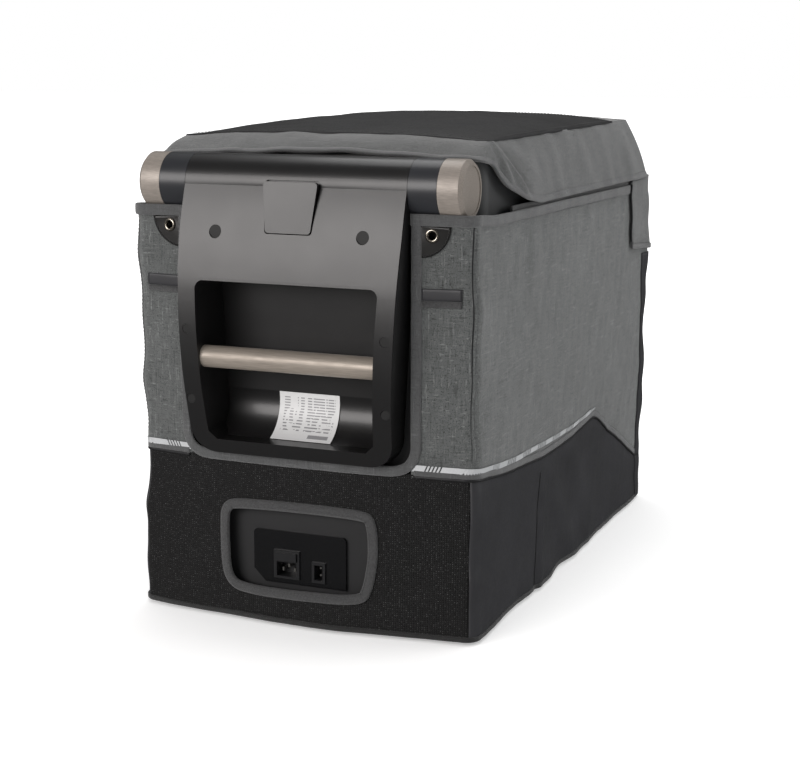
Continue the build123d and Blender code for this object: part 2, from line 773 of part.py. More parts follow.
rotor_centre = (105.0, -218.5, 105.0)
hub_radius = 19.0
blade_count = 7
blade_middle = 35.0  # the blades' middle stands this far from the hub's axis
blade_pitch = radians(30)
with BuildPart() as fan_rotor:
    bar_along("y", rotor_centre, hub_radius, 17)
    for blade in range(blade_count):
        angle = radians(blade * 360 / blade_count)
        centre = (rotor_centre[0] + blade_middle * sin(angle), rotor_centre[1],
                  rotor_centre[2] + blade_middle * cos(angle))
        outward = (sin(angle), 0, cos(angle))
        across = (cos(angle) * cos(blade_pitch), sin(blade_pitch), -sin(angle) * cos(blade_pitch))
        with Locations(Plane(origin=centre, x_dir=across, z_dir=outward)):
            Box(22, 1.6, 36)
save(fan_rotor, "fan_rotor")

with BuildPart() as controller_box:
    block((-165, -310, 110), (-90, -270, 190))
save(controller_box, "controller_box")

with BuildPart() as filter_drier:
    bar_along("z", (5, -170, 110), 10, 90)
    chamfer(filter_drier.edges(), 3)
save(filter_drier, "filter_drier")

pipe_radius = 3.0
discharge_route = ((5, -170, 155.5), (5, -170, 190), (60, -170, 200), (60, -130, 190), (60, -130, 150))
suction_route = ((-70, -200, 153), (-70, -200, 190), (-70, -150, 205), (-110, -125, 205), (-110, -125, 120))
with BuildPart() as refrigerant_pipes:
    for route in (discharge_route, suction_route):
        with BuildLine() as path:
            FilletPolyline(*route, radius=12)
        with BuildSketch(Plane(origin=route[0], z_dir=(0, 0, 1))):
            Circle(pipe_radius)
        sweep()
save(refrigerant_pipes, "refrigerant_pipes")

# ---------------------------------------------------------------- fabric transit cover
cover_outside = bowed_plan(cover_half_width, cover_half_length, cover_bow, cover_corner, cover_hem)
cover_inside = bowed_plan(cover_half_width - cover_thickness, cover_half_length - cover_thickness,
                          cover_bow, cover_corner - cover_thickness, cover_hem)
seam_y = cover_half_length - cover_corner
with BuildPart() as cover_walls:
    extrude(cover_outside, amount=cover_rim - cover_hem)
    extrude(cover_inside, amount=cover_rim - cover_hem, mode=Mode.SUBTRACT)

for side, name in ((-1, "cover_side_left"), (1, "cover_side_right")):
    with BuildPart() as cover_side:
        add(cover_walls.part)
        block((min(0, side * reach), -seam_y, 0), (max(0, side * reach), seam_y, reach), Mode.INTERSECT)
    save(cover_side, name)

for end, place in ((-1, "hinge"), (1, "control")):
    near = min(end * reach, end * (seam_y + 0.1))
    far = max(end * reach, end * (seam_y + 0.1))
    with BuildPart() as cover_strips:
        add(cover_walls.part)
        block((-reach, near, cutout_bottom + 0.1), (reach, far, strip_top), Mode.INTERSECT)
        block((-cutout_half_width, near, 0), (cutout_half_width, far, reach), Mode.SUBTRACT)
        for side in (-1, 1):
            bar_along("y", (side * eyelet_x, end * 350, eyelet_z), eyelet_radius - 1, 30, Mode.SUBTRACT)
    save(cover_strips, f"cover_strips_{place}_end")
    with BuildPart() as cover_lower:
        add(cover_walls.part)
        block((-reach, near, 0), (reach, far, cutout_bottom), Mode.INTERSECT)
        with BuildSketch(Plane.XZ) as window:
            with Locations(window_centre):
                RectangleRounded(window_size[0], window_size[1], 12)
        extrude(amount=-end * reach, mode=Mode.SUBTRACT)
    save(cover_lower, f"cover_lower_{place}_end")

with BuildPart() as cover_eyelets:
    for end in (-1, 1):
        for side in (-1, 1):
            middle = (side * eyelet_x, end * eyelet_barrel_y, eyelet_z)
            bar_along("y", middle, eyelet_radius - 1.1, 6)
            bar_along("y", (side * eyelet_x, end * eyelet_flange_y, eyelet_z), eyelet_radius, 1.2)
            bar_along("y", middle, eyelet_hole_radius, 20, Mode.SUBTRACT)
save(cover_eyelets, "cover_eyelets")

cover_top_half = 188.0
cover_top_near = -300.0
cover_top_far = 337.0
cover_top_corner = 26.0
cover_top_chamfer = 12.0
with BuildPart() as lid_cover_top:
    extrude(rounded_plan((-cover_top_half, cover_top_near), (cover_top_half, cover_top_far),
                         cover_top_corner, lid_top + 1), amount=lid_cover_top_z - lid_top - 1)
    chamfer(lid_cover_top.edges().group_by(Axis.Z)[-1], cover_top_chamfer)
save(lid_cover_top, "lid_cover_top")

# Side skirts flare from under the top to the bag's width, cut away round the hinge
with BuildPart() as lid_cover_sides:
    with BuildSketch(Plane.YZ):
        with BuildLine():
            Polyline(
                (-275, skirt_top), (-272, 500), (-244, 478), (-195, 463), (-140, skirt_bottom),
                (318, skirt_bottom), (318, skirt_top), close=True,
            )
        make_face()
    extrude(amount=210, both=True)
    with BuildSketch(Plane.XZ):
        for side in (-1, 1):
            with BuildLine():
                Polyline(
                    (side * 187, skirt_top), (side * 190, skirt_top), (side * 200, skirt_bottom),
                    (side * 197, skirt_bottom), close=True,
                )
            make_face()
    extrude(amount=reach, both=True, mode=Mode.INTERSECT)
save(lid_cover_sides, "lid_cover_sides")

with BuildPart() as lid_cover_ends:
    with BuildSketch(Plane.YZ):
        with BuildLine():
            Polyline((336, skirt_top), (339, skirt_top), (348, skirt_bottom), (345, skirt_bottom), close=True)
        make_face()
    extrude(amount=186, both=True)
    block((-42, 300, 440), (42, 400, 508), Mode.SUBTRACT)
    with BuildSketch(Plane.YZ):
        with BuildLine():
            Polyline((-318, 514.5), (-301, 529), (-301, 532), (-319, 518), close=True)
        make_face()
    extrude(amount=184, both=True)
save(lid_cover_ends, "lid_cover_ends")

flap_gap = 0.6
flap_thickness = 3.0
flap_bottom = 356.0
flap_height = 94.0
flap_near = 240.0
flap_inner = 170.0
with BuildPart() as lid_cover_flaps:
    for grow, mode in ((flap_gap + flap_thickness, Mode.ADD), (flap_gap, Mode.SUBTRACT)):
        extrude(bowed_plan(cover_half_width + grow, cover_half_length + grow, cover_bow,
                           cover_corner + grow, flap_bottom),
                amount=flap_height, mode=mode)
    block((-reach, flap_near, 0), (reach, reach, reach), Mode.INTERSECT)
    block((-flap_inner, flap_near, 0), (flap_inner, reach, reach), Mode.SUBTRACT)
    both_sides((200.3, flap_near + 0.1, 450), (203.3, 318, 462))
save(lid_cover_flaps, "lid_cover_flaps")
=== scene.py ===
"""The looks of the compressor fridge in its fabric transit cover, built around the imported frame.

Lengths in this script are millimetres in the frame's axes (X width, Y length, Z up) until a mesh is
made, which turns them into metres.
"""
import json
import math

import bpy
import bmesh
import numpy as np
from mathutils import Matrix, Vector

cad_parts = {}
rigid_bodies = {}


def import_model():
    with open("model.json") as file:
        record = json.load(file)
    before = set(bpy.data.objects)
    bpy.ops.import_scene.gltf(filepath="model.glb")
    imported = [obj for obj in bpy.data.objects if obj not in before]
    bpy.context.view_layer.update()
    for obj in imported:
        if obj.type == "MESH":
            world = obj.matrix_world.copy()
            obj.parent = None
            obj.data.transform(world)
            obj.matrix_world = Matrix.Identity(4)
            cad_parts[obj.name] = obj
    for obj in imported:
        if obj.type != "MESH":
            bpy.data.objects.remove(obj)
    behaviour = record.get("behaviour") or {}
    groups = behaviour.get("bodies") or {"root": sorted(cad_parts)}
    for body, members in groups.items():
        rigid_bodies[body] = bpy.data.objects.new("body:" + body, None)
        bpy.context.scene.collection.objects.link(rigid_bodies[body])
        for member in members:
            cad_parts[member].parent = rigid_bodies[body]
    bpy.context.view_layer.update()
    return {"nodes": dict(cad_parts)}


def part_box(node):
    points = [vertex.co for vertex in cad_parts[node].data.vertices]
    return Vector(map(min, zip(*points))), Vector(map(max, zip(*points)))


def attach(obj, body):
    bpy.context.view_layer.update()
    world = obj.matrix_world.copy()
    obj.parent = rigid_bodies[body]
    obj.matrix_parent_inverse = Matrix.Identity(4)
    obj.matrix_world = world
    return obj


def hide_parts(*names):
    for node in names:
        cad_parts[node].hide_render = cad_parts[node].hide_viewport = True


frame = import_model()
MM = 0.001


def box_mm(node):
    """A CAD node's corners in millimetres."""
    low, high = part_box(node)
    return np.array(low) / MM, np.array(high) / MM


# ---------------------------------------------------------------- places read from the frame
bag_half_width = float(box_mm("cover_side_right")[1][0])
bag_half_length = 345.0
bag_corner = 16.0
end_bow = 20.0
rim_side = float(box_mm("cover_side_right")[1][2])
rim_end = rim_side + 4.5
cut_x = 131.0  # inner edge of the binding round the end panel
binding = 11.0
hem_height = float(box_mm("cover_side_right")[0][2]) + 0.5
barrel_front = 356.0  # the rim passes the hinge's round caps this far out


# ---------------------------------------------------------------- node materials
def new_material(name, base, roughness, metallic=0.0, coat=0.0, coat_roughness=0.1, sheen=0.0):
    """A Principled material and the pieces every recipe below needs."""
    material = bpy.data.materials.new(name)
    material.use_nodes = True
    tree = material.node_tree
    shader = tree.nodes["Principled BSDF"]
    shader.inputs["Base Color"].default_value = (*base, 1.0)
    shader.inputs["Roughness"].default_value = roughness
    shader.inputs["Metallic"].default_value = metallic
    shader.inputs["Coat Weight"].default_value = coat
    shader.inputs["Coat Roughness"].default_value = coat_roughness
    shader.inputs["Sheen Weight"].default_value = sheen
    return material, tree, shader


def coordinates(tree, scale):
    """Object coordinates stretched by scale, so a pattern keeps its real size."""
    where = tree.nodes.new("ShaderNodeTexCoord")
    mapping = tree.nodes.new("ShaderNodeMapping")
    mapping.inputs["Scale"].default_value = scale
    tree.links.new(where.outputs["Object"], mapping.inputs["Vector"])
    return mapping.outputs["Vector"]


def noise_value(tree, scale, detail=3.0, stretch=(1, 1, 1), rough=0.5):
    """A noise pattern, scale in cycles per metre."""
    node = tree.nodes.new("ShaderNodeTexNoise")
    node.inputs["Scale"].default_value = scale
    node.inputs["Detail"].default_value = detail
    node.inputs["Roughness"].default_value = rough
    tree.links.new(coordinates(tree, stretch), node.inputs["Vector"])
    return node.outputs["Fac"]


def ramp(tree, value, stops):
    """A colour ramp over value; stops are (position, grey or colour)."""
    node = tree.nodes.new("ShaderNodeValToRGB")
    elements = node.color_ramp.elements
    while len(elements) < len(stops):
        elements.new(0.5)
    for element, (position, colour) in zip(elements, stops):
        element.position = position
        tone = colour if isinstance(colour, tuple) else (colour, colour, colour)
        element.color = (*tone, 1.0)
    tree.links.new(value, node.inputs["Fac"])
    return node.outputs["Color"]


def mix(tree, amount, first, second, kind="MIX"):
    """Two colours mixed; amount is a number or a socket."""
    node = tree.nodes.new("ShaderNodeMix")
    node.data_type = "RGBA"
    node.blend_type = kind
    node.clamp_factor = True
    if isinstance(amount, (int, float)):
        node.inputs["Factor"].default_value = amount
    else:
        tree.links.new(amount, node.inputs["Factor"])
    for socket, value in (("A", first), ("B", second)):
        target = [i for i in node.inputs if i.name == socket and i.type == "RGBA"][0]
        if isinstance(value, tuple):
            target.default_value = (*value, 1.0)
        else:
            tree.links.new(value, target)
    return [o for o in node.outputs if o.type == "RGBA"][0]


def math_node(tree, operation, first, second=None):
    """One arithmetic step on sockets or numbers."""
    node = tree.nodes.new("ShaderNodeMath")
    node.operation = operation
    for slot, value in enumerate((first, second)):
        if value is None:
            continue
        if isinstance(value, (int, float)):
            node.inputs[slot].default_value = value
        else:
            tree.links.new(value, node.inputs[slot])
    return node.outputs[0]


def bump(tree, shader, height, distance, strength=1.0):
    """Surface relief of the given depth in metres; stacks on any relief already there."""
    node = tree.nodes.new("ShaderNodeBump")
    node.inputs["Distance"].default_value = distance
    node.inputs["Strength"].default_value = strength
    tree.links.new(height, node.inputs["Height"])
    normal = shader.inputs["Normal"]
    if normal.is_linked:
        tree.links.new(normal.links[0].from_socket, node.inputs["Normal"])
    tree.links.new(node.outputs["Normal"], normal)


def threads(tree, pitch, along):
    """A set of parallel threads, brighter along their crowns, running across an axis; where this sets a
    colour, the brighter crowns are a painted highlight and the darker hollows painted shade.
    """
    node = tree.nodes.new("ShaderNodeTexWave")
    node.wave_type = "BANDS"
    node.bands_direction = along
    node.wave_profile = "SIN"
    node.inputs["Scale"].default_value = math.pi / (10 * pitch) * (2 if along == "DIAGONAL" else 1)
    node.inputs["Distortion"].default_value = 0.6
    node.inputs["Detail"].default_value = 1.0
    node.inputs["Detail Scale"].default_value = 1.2
    tree.links.new(coordinates(tree, (1, 1, 1)), node.inputs["Vector"])
    return node.outputs["Fac"]


def on_sides(tree, facing_x, facing_y):
    """Chooses one value on faces that look along X and another on the rest."""
    geometry = tree.nodes.new("ShaderNodeNewGeometry")
    split = tree.nodes.new("ShaderNodeSeparateXYZ")
    tree.links.new(geometry.outputs["Normal"], split.inputs[0])
    side = math_node(tree, "GREATER_THAN", math_node(tree, "ABSOLUTE", split.outputs["X"]), 0.7)
    chooser = tree.nodes.new("ShaderNodeMix")
    chooser.data_type = "FLOAT"
    tree.links.new(side, chooser.inputs["Factor"])
    tree.links.new(facing_y, chooser.inputs[2])
    tree.links.new(facing_x, chooser.inputs[3])
    return chooser.outputs[0]


def heather(name, dark, mid, light, pitch=0.0009, relief=0.00025):
    """Grey melange canvas: mixed fibre tones, slubs both ways and a plain weave."""
    material, tree, shader = new_material(name, mid, 0.93, sheen=0.25)
    shader.inputs["Specular IOR Level"].default_value = 0.25
    slub_up = noise_value(tree, 560, 2.0, (1, 1, 0.07), 0.6)
    slub_x = noise_value(tree, 560, 2.0, (0.07, 1, 1), 0.6)
    slub_y = noise_value(tree, 560, 2.0, (1, 0.07, 1), 0.6)
    slub_across = on_sides(tree, slub_y, slub_x)
    stops = [(0.30, dark), (0.42, mid), (0.60, mid), (0.72, light)]
    tone = mix(tree, 0.5, ramp(tree, slub_up, stops), ramp(tree, slub_across, stops))
    cloud = ramp(tree, noise_value(tree, 7, 3.0), [(0.30, 0.88), (0.70, 1.08)])
    tone = mix(tree, 1.0, tone, cloud, "MULTIPLY")
    fleck = ramp(tree, noise_value(tree, 900, 1.0), [(0.32, 1.0), (0.42, 0.0)])
    tone = mix(tree, math_node(tree, "MULTIPLY", fleck, 0.9), tone, dark)
    tree.links.new(tone, shader.inputs["Base Color"])
    weave_up = threads(tree, pitch, "Z")
    weave_across = on_sides(tree, threads(tree, pitch, "Y"), threads(tree, pitch, "X"))
    weave = math_node(tree, "MULTIPLY", weave_up, weave_across)
    bump(tree, shader, weave, relief, 0.8)
    bump(tree, shader, noise_value(tree, 120, 3.0), 0.0006, 0.5)
    return material


def ballistic(name):
    """Black textured mesh: a coarse basket of shiny filaments in a matt ground, with a painted highlight on
    the filament crowns and painted shade in the hollows between them.
    """
    material, tree, shader = new_material(name, (0.009, 0.009, 0.010), 0.6)
    across = on_sides(tree, threads(tree, 0.0025, "Y"), threads(tree, 0.0025, "X"))
    cells = math_node(tree, "MULTIPLY", across, threads(tree, 0.0022, "Z"))
    gaps = ramp(tree, noise_value(tree, 420, 3.0, (1, 1, 1), 0.7), [(0.42, 0.0), (0.66, 1.0)])
    broken = math_node(tree, "MULTIPLY", cells, gaps)
    # Base colour follows the basket relief: near black in its hollows as painted shade, paler on the filament
    # crowns as a painted highlight; the noise breaks between cells are random.
    tone = ramp(tree, broken, [(0.10, 0.0040), (0.35, 0.012), (0.75, 0.075)])
    tree.links.new(tone, shader.inputs["Base Color"])
    shine = ramp(tree, broken, [(0.1, 0.85), (0.6, 0.36)])
    tree.links.new(shine, shader.inputs["Roughness"])
    bump(tree, shader, cells, 0.0009, 1.0)
    bump(tree, shader, noise_value(tree, 45, 3.0), 0.0012, 0.4)
    return material


def coated_cloth(name, base, roughness, grain=700, crease=0.0012, specular=0.5):
    """Satin coated cloth or vinyl: fine grain, soft creases and slightly uneven sheen."""
    material, tree, shader = new_material(name, base, roughness, coat=0.12 * specular, coat_roughness=0.45)
    shader.inputs["Specular IOR Level"].default_value = specular
    tone = ramp(tree, noise_value(tree, 11, 4.0),
                [(0.30, tuple(0.85 * c for c in base)), (0.72, tuple(1.18 * c for c in base))])
    tree.links.new(tone, shader.inputs["Base Color"])
    shine = ramp(tree, noise_value(tree, 300, 3.0),
                 [(0.3, roughness * 0.92), (0.7, min(1.0, roughness * 1.1))])
    tree.links.new(shine, shader.inputs["Roughness"])
    bump(tree, shader, noise_value(tree, grain, 2.0), 0.00012, 0.7)
    bump(tree, shader, noise_value(tree, 18, 2.0, (1, 1, 1.6)), crease, 0.25)
    return material


def webbing(name, base, relief=0.0003):
    """Ribbed binding tape with edge ribs and a slight fuzz; the ribs carry a painted highlight on their
    crowns and painted shade in their hollows.
    """
    material, tree, shader = new_material(name, base, 0.88, sheen=0.2)
    rib = threads(tree, 0.0012, "DIAGONAL")
    # Colour follows the ribs: darker in their hollows as painted shade, paler on their crowns as a painted
    # highlight; the speckle on top is random.
    tone = ramp(tree, rib, [(0.1, tuple(0.70 * c for c in base)), (0.8, tuple(1.25 * c for c in base))])
    speckle = ramp(tree, noise_value(tree, 500, 2.0), [(0.35, 0.75), (0.7, 1.3)])
    tone = mix(tree, 1.0, tone, speckle, "MULTIPLY")
    tree.links.new(tone, shader.inputs["Base Color"])
    bump(tree, shader, rib, relief, 0.8)
    return material


def moulded(name, base, roughness, grain=1400, relief=0.00004, coat=0.0, wear=0.35):
    """Moulded plastic: faint grain, uneven gloss and paler scuffs."""
    material, tree, shader = new_material(name, base, roughness, coat=coat, coat_roughness=0.12)
    scuff = ramp(tree, noise_value(tree, 45, 6.0, (1, 1, 1), 0.65), [(0.58, 0.0), (0.85, 1.0)])
    paler = tuple(min(1.0, 1.6 * c + 0.004) for c in base)
    tone = mix(tree, math_node(tree, "MULTIPLY", scuff, wear), base, paler)
    tree.links.new(tone, shader.inputs["Base Color"])
    shine = ramp(tree, noise_value(tree, 25, 3.0),
                 [(0.3, roughness * 0.95), (0.75, min(1.0, roughness * 1.06))])
    tree.links.new(shine, shader.inputs["Roughness"])
    bump(tree, shader, noise_value(tree, grain, 2.0), relief, 0.6)
    return material


def satin_metal(name, base, roughness, stretch=(1, 1, 1), metallic=0.9, flake=900):
    """Anodised or painted metal with a fine directional grain."""
    material, tree, shader = new_material(name, base, roughness, metallic=metallic)
    grain = noise_value(tree, flake, 3.0, stretch)
    tone = ramp(tree, grain,
                [(0.3, tuple(0.86 * c for c in base)), (0.7, tuple(min(1.0, 1.12 * c) for c in base))])
    tree.links.new(tone, shader.inputs["Base Color"])
    shine = ramp(tree, noise_value(tree, 50, 4.0), [(0.3, roughness * 0.85), (0.75, roughness * 1.2)])
    tree.links.new(shine, shader.inputs["Roughness"])
    bump(tree, shader, grain, 0.00003, 0.6)
    return material


HEATHER = heather("heather", (0.018, 0.019, 0.019), (0.076, 0.080, 0.079), (0.200, 0.205, 0.203))
HEATHER_LID = heather("heather_lid", (0.022, 0.023, 0.023), (0.072, 0.074, 0.074), (0.140, 0.143, 0.142))
BINDING = webbing("binding_tape", (0.036, 0.036, 0.037))
EDGE_CLOTH = heather("edge_cloth", (0.040, 0.040, 0.041), (0.066, 0.067, 0.068), (0.115, 0.117, 0.117))
MESH = ballistic("ballistic_mesh")
VINYL = coated_cloth("vinyl", (0.0255, 0.0255, 0.0285), 0.42)
PIPING = coated_cloth("piping", (0.010, 0.010, 0.011), 0.5, crease=0.0004)
TOP_CLOTH = coated_cloth("top_cloth", (0.021, 0.021, 0.0215), 0.58, grain=1100, crease=0.0012,
                         specular=0.2)
PATCH = coated_cloth("patch_leather", (0.009, 0.0085, 0.008), 0.36, grain=420, crease=0.0005)
THREAD = coated_cloth("thread", (0.055, 0.055, 0.056), 0.7, grain=2500, crease=0.0001)
SILVER = satin_metal("reflective_tape", (0.52, 0.53, 0.54), 0.5, metallic=0.35, flake=2200)
ZIP = webbing("zip_tape", (0.010, 0.010, 0.010))
EYELET = satin_metal("eyelet_metal", (0.46, 0.42, 0.36), 0.26, metallic=1.0)
PANEL = moulded("panel_plastic", (0.0085, 0.0082, 0.0084), 0.34, coat=0.12, wear=0.12)
KNUCKLE = moulded("knuckle_plastic", (0.020, 0.021, 0.024), 0.33, wear=0.3)
CAP = satin_metal("cap_metal", (0.245, 0.216, 0.190), 0.44, (0.15, 1, 1), metallic=0.3)
BAR = satin_metal("bar_metal", (0.27, 0.235, 0.20), 0.42, (0.06, 1, 1), metallic=0.35)
FRAME_PLASTIC = moulded("frame_plastic", (0.012, 0.012, 0.013), 0.5, grain=900, relief=0.00012)
LID_PLASTIC = moulded("lid_plastic", (0.040, 0.041, 0.042), 0.45, wear=0.15)
CABINET = moulded("cabinet_paint", (0.05, 0.052, 0.056), 0.5, grain=700, relief=0.0001)
LINER = moulded("liner_plastic", (0.60, 0.62, 0.63), 0.28, wear=0.01)
FOAM = moulded("rigid_foam", (0.035, 0.036, 0.038), 0.9, grain=500, relief=0.0005)
RUBBER = moulded("rubber", (0.012, 0.012, 0.012), 0.75, grain=800, relief=0.0002)
PLUG = moulded("plug_plastic", (0.006, 0.006, 0.006), 0.4)
STEEL = satin_metal("steel", (0.42, 0.42, 0.43), 0.3, metallic=1.0)
SOCKET = moulded("socket_plastic", (0.0045, 0.0045, 0.005), 0.22, wear=0.1)
SOCKET_FACE = moulded("socket_face", (0.010, 0.010, 0.011), 0.35, wear=0.1)
NICKEL = satin_metal("nickel", (0.66, 0.64, 0.60), 0.22, metallic=1.0)
COPPER = satin_metal("copper", (0.72, 0.33, 0.18), 0.28, metallic=1.0)
ALUMINIUM = satin_metal("aluminium", (0.66, 0.67, 0.68), 0.35, (1, 1, 0.1), metallic=1.0)
ENAMEL = moulded("enamel", (0.008, 0.008, 0.009), 0.2, coat=0.4)
KEYPAD = moulded("keypad", (0.06, 0.06, 0.065), 0.6)
GLASS = moulded("smoked_window", (0.004, 0.006, 0.008), 0.06, coat=1.0, wear=0.05)


def label_material():
    """White film with plain grey rules and blocks where a rating label has its print."""
    material, tree, shader = new_material("label_film", (0.55, 0.55, 0.55), 0.45)
    where = tree.nodes.new("ShaderNodeTexCoord")
    split = tree.nodes.new("ShaderNodeSeparateXYZ")
    tree.links.new(where.outputs["Object"], split.inputs[0])
    across, up = split.outputs["X"], split.outputs["Z"]

    def rules(value, per_metre, share):
        """1 on evenly spaced bars, 0 between them."""
        part = math_node(tree, "FRACT", math_node(tree, "MULTIPLY", value, per_metre))
        return math_node(tree, "LESS_THAN", part, share)

    def between(value, low, high):
        above = math_node(tree, "GREATER_THAN", value, low)
        return math_node(tree, "MULTIPLY", above, math_node(tree, "LESS_THAN", value, high))

    broken = math_node(tree, "GREATER_THAN", noise_value(tree, 330, 0.0, (1, 1, 0.02)), 0.46)
    lines = math_node(tree, "MULTIPLY", rules(up, 330, 0.42), broken)
    block = math_node(tree, "MULTIPLY", between(across, -0.030, 0.031), between(up, 0.2135, 0.2500))
    ink = math_node(tree, "MULTIPLY", lines, block)
    gutter = between(across, -0.006, -0.002)
    ink = math_node(tree, "MULTIPLY", ink, math_node(tree, "SUBTRACT", 1.0, gutter))
    box = math_node(tree, "MULTIPLY", between(across, 0.006, 0.030), between(up, 0.2095, 0.2125))
    ink = math_node(tree, "MAXIMUM", ink, box)
    tone = mix(tree, math_node(tree, "MULTIPLY", ink, 0.72), (0.60, 0.60, 0.60), (0.10, 0.10, 0.11))
    tree.links.new(tone, shader.inputs["Base Color"])
    shine = ramp(tree, noise_value(tree, 90, 3.0), [(0.3, 0.38), (0.7, 0.55)])
    tree.links.new(shine, shader.inputs["Roughness"])
    bump(tree, shader, noise_value(tree, 55, 3.0), 0.0006, 0.4)
    return material


LABEL = label_material()


# ---------------------------------------------------------------- mesh building
def add_mesh(name, points, faces, material, body="cabinet", smooth=True):
    """A piece from points in millimetres, riding on a body."""
    mesh = bpy.data.meshes.new(name)
    mesh.from_pydata([tuple(p) for p in np.asarray(points, float) * MM], [], [tuple(f) for f in faces])
    mesh.validate()
    mesh.update()
    if smooth:
        mesh.polygons.foreach_set("use_smooth", [True] * len(mesh.polygons))
    piece = bpy.data.objects.new(name, mesh)
    bpy.context.scene.collection.objects.link(piece)
    piece.data.materials.append(material)
    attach(piece, body)
    return piece


def grid_faces(rows, columns, closed=False):
    """Quads over a rows x columns grid of points; closed joins the last column to the first."""
    faces = []
    last = columns if closed else columns - 1
    for r in range(rows - 1):
        for c in range(last):
            d = (c + 1) % columns
            faces.append((r * columns + c, r * columns + d, (r + 1) * columns + d, (r + 1) * columns + c))
    return faces


def apply_modifiers(piece):
    """Bakes the piece's modifiers into its mesh."""
    depsgraph = bpy.context.evaluated_depsgraph_get()
    mesh = bpy.data.meshes.new_from_object(piece.evaluated_get(depsgraph))
    piece.modifiers.clear()
    piece.data = mesh
    return piece


def thicken(piece, thickness):
    """Gives a sheet its cloth thickness in millimetres, on its inner side."""
    solid = piece.modifiers.new("thickness", "SOLIDIFY")
    solid.thickness = thickness * MM
    solid.offset = -1.0
    return apply_modifiers(piece)


def face_away(piece, centre=(0, 0, 0.25)):
    """Turns a sheet's faces so that they look away from the object's middle."""
    total = sum(p.normal.dot(p.center - Vector(centre)) * p.area for p in piece.data.polygons)
    if total < 0:
        piece.data.flip_normals()
    return piece


def mend_normals(piece):
    """Makes a closed piece's faces all look outwards."""
    bm = bmesh.new()
    bm.from_mesh(piece.data)
    bmesh.ops.recalc_face_normals(bm, faces=bm.faces)
    bm.to_mesh(piece.data)
    bm.free()
    return piece


def waves(points, seed, count=16, low=0.002, high=0.012):
    """Smooth repeatable unevenness about -1 to 1: a sum of plane waves of low to high turns per mm."""
    random = np.random.default_rng(seed)
    points = np.asarray(points, float)
    total = np.zeros(points.shape[:-1])
    weight = 0.0
    for _ in range(count):
        turns = low * (high / low) ** random.random()
        direction = random.normal(size=3)
        direction *= 2 * math.pi * turns / np.linalg.norm(direction)
        size = (low / turns) ** 0.7
        total += size * np.sin(points @ direction + random.random() * 2 * math.pi)
        weight += size * size / 2
    return total / math.sqrt(weight) / 1.8


# ---------------------------------------------------------------- the bag's outline seen from above
end_samples = 61  # points along half of an end wall


def outline_half():
    """Right half of the outline from the hinge end's middle to the far end's: length along it, x, y."""
    straight_end = bag_half_width - bag_corner
    x = np.linspace(0, straight_end, end_samples)
    end = np.stack([x, -bag_half_length - end_bow * (1 - (x / bag_half_width) ** 2)], 1)
    slope = math.atan2(2 * end_bow * straight_end / bag_half_width**2, 1)
    angle = np.linspace(slope - math.pi / 2, 0, 24)[1:]
    centre_y = end[-1, 1] + bag_corner * math.cos(slope)
    corner = np.stack([straight_end + bag_corner * np.cos(angle), centre_y + bag_corner * np.sin(angle)], 1)
    side_line = np.linspace(corner[-1, 1], 0, 80)[1:]
    side = np.stack([np.full(len(side_line), bag_half_width), side_line], 1)
    quarter = np.vstack([end, corner, side])
    half = np.vstack([quarter, quarter[::-1][1:] * [1, -1]])
    lengths = np.concatenate([[0], np.cumsum(np.linalg.norm(np.diff(half, axis=0), axis=1))])
    return lengths, half


half_lengths, half_points = outline_half()
half_total = half_lengths[-1]
loop_lengths = np.concatenate([half_lengths, half_total + half_lengths[1:]])
loop_points = np.vstack([half_points, half_points[::-1][1:] * [-1, 1]])
tangents = np.gradient(loop_points, loop_lengths, axis=0)
tangents[0] = tangents[-1] = (1, 0)
tangents /= np.linalg.norm(tangents, axis=1)[:, None]
loop_normals = np.stack([tangents[:, 1], -tangents[:, 0]], 1)


def folded(s):
    """Length from the hinge end's middle, whichever way round is shorter."""
    return np.abs((np.asarray(s, float) + half_total) % (2 * half_total) - half_total)


def at_x(x, far=False):
    """Length at which the outline passes x on an end wall."""
    length = np.interp(x, half_points[:end_samples, 0], half_lengths[:end_samples])
    return half_total - length if far else length


def at_y(y):
    """Length at which the outline passes y on the right side."""
    return np.interp(y, half_points[:, 1], half_lengths)


corner_near = at_x(bag_half_width - bag_corner) + 11.0
corner_far = half_total - corner_near
cut_near = at_x(cut_x)
cut_far = half_total - cut_near


def lower_edge(s):
    """Height of the seam between the grey cloth and the black lower panels."""
    f = folded(s)
    offsets = np.linspace(-14, 14, 9)
    knots_y = (-400, -345, -260, -127, -21, 54, 84, 98, 112, 149, 312, 400)
    knots_z = (183, 181, 170, 159, 158.5, 164, 166, 164, 157, 140, 66, 60)
    heights = 0
    for offset in offsets:
        y = np.interp(np.clip(f + offset, 0, half_total), half_lengths, half_points[:, 1])
        heights = heights + np.interp(y, knots_y, knots_z) / len(offsets)
    return np.where(f > corner_far, 183.0, heights)


def rim_height(s):
    """Top edge of the bag, a little higher at its two ends."""
    f = folded(s)
    end = 1 / (1 + np.exp((np.minimum(f, half_total - f) - corner_near - 30) / 14))
    return rim_side + (rim_end - rim_side) * end


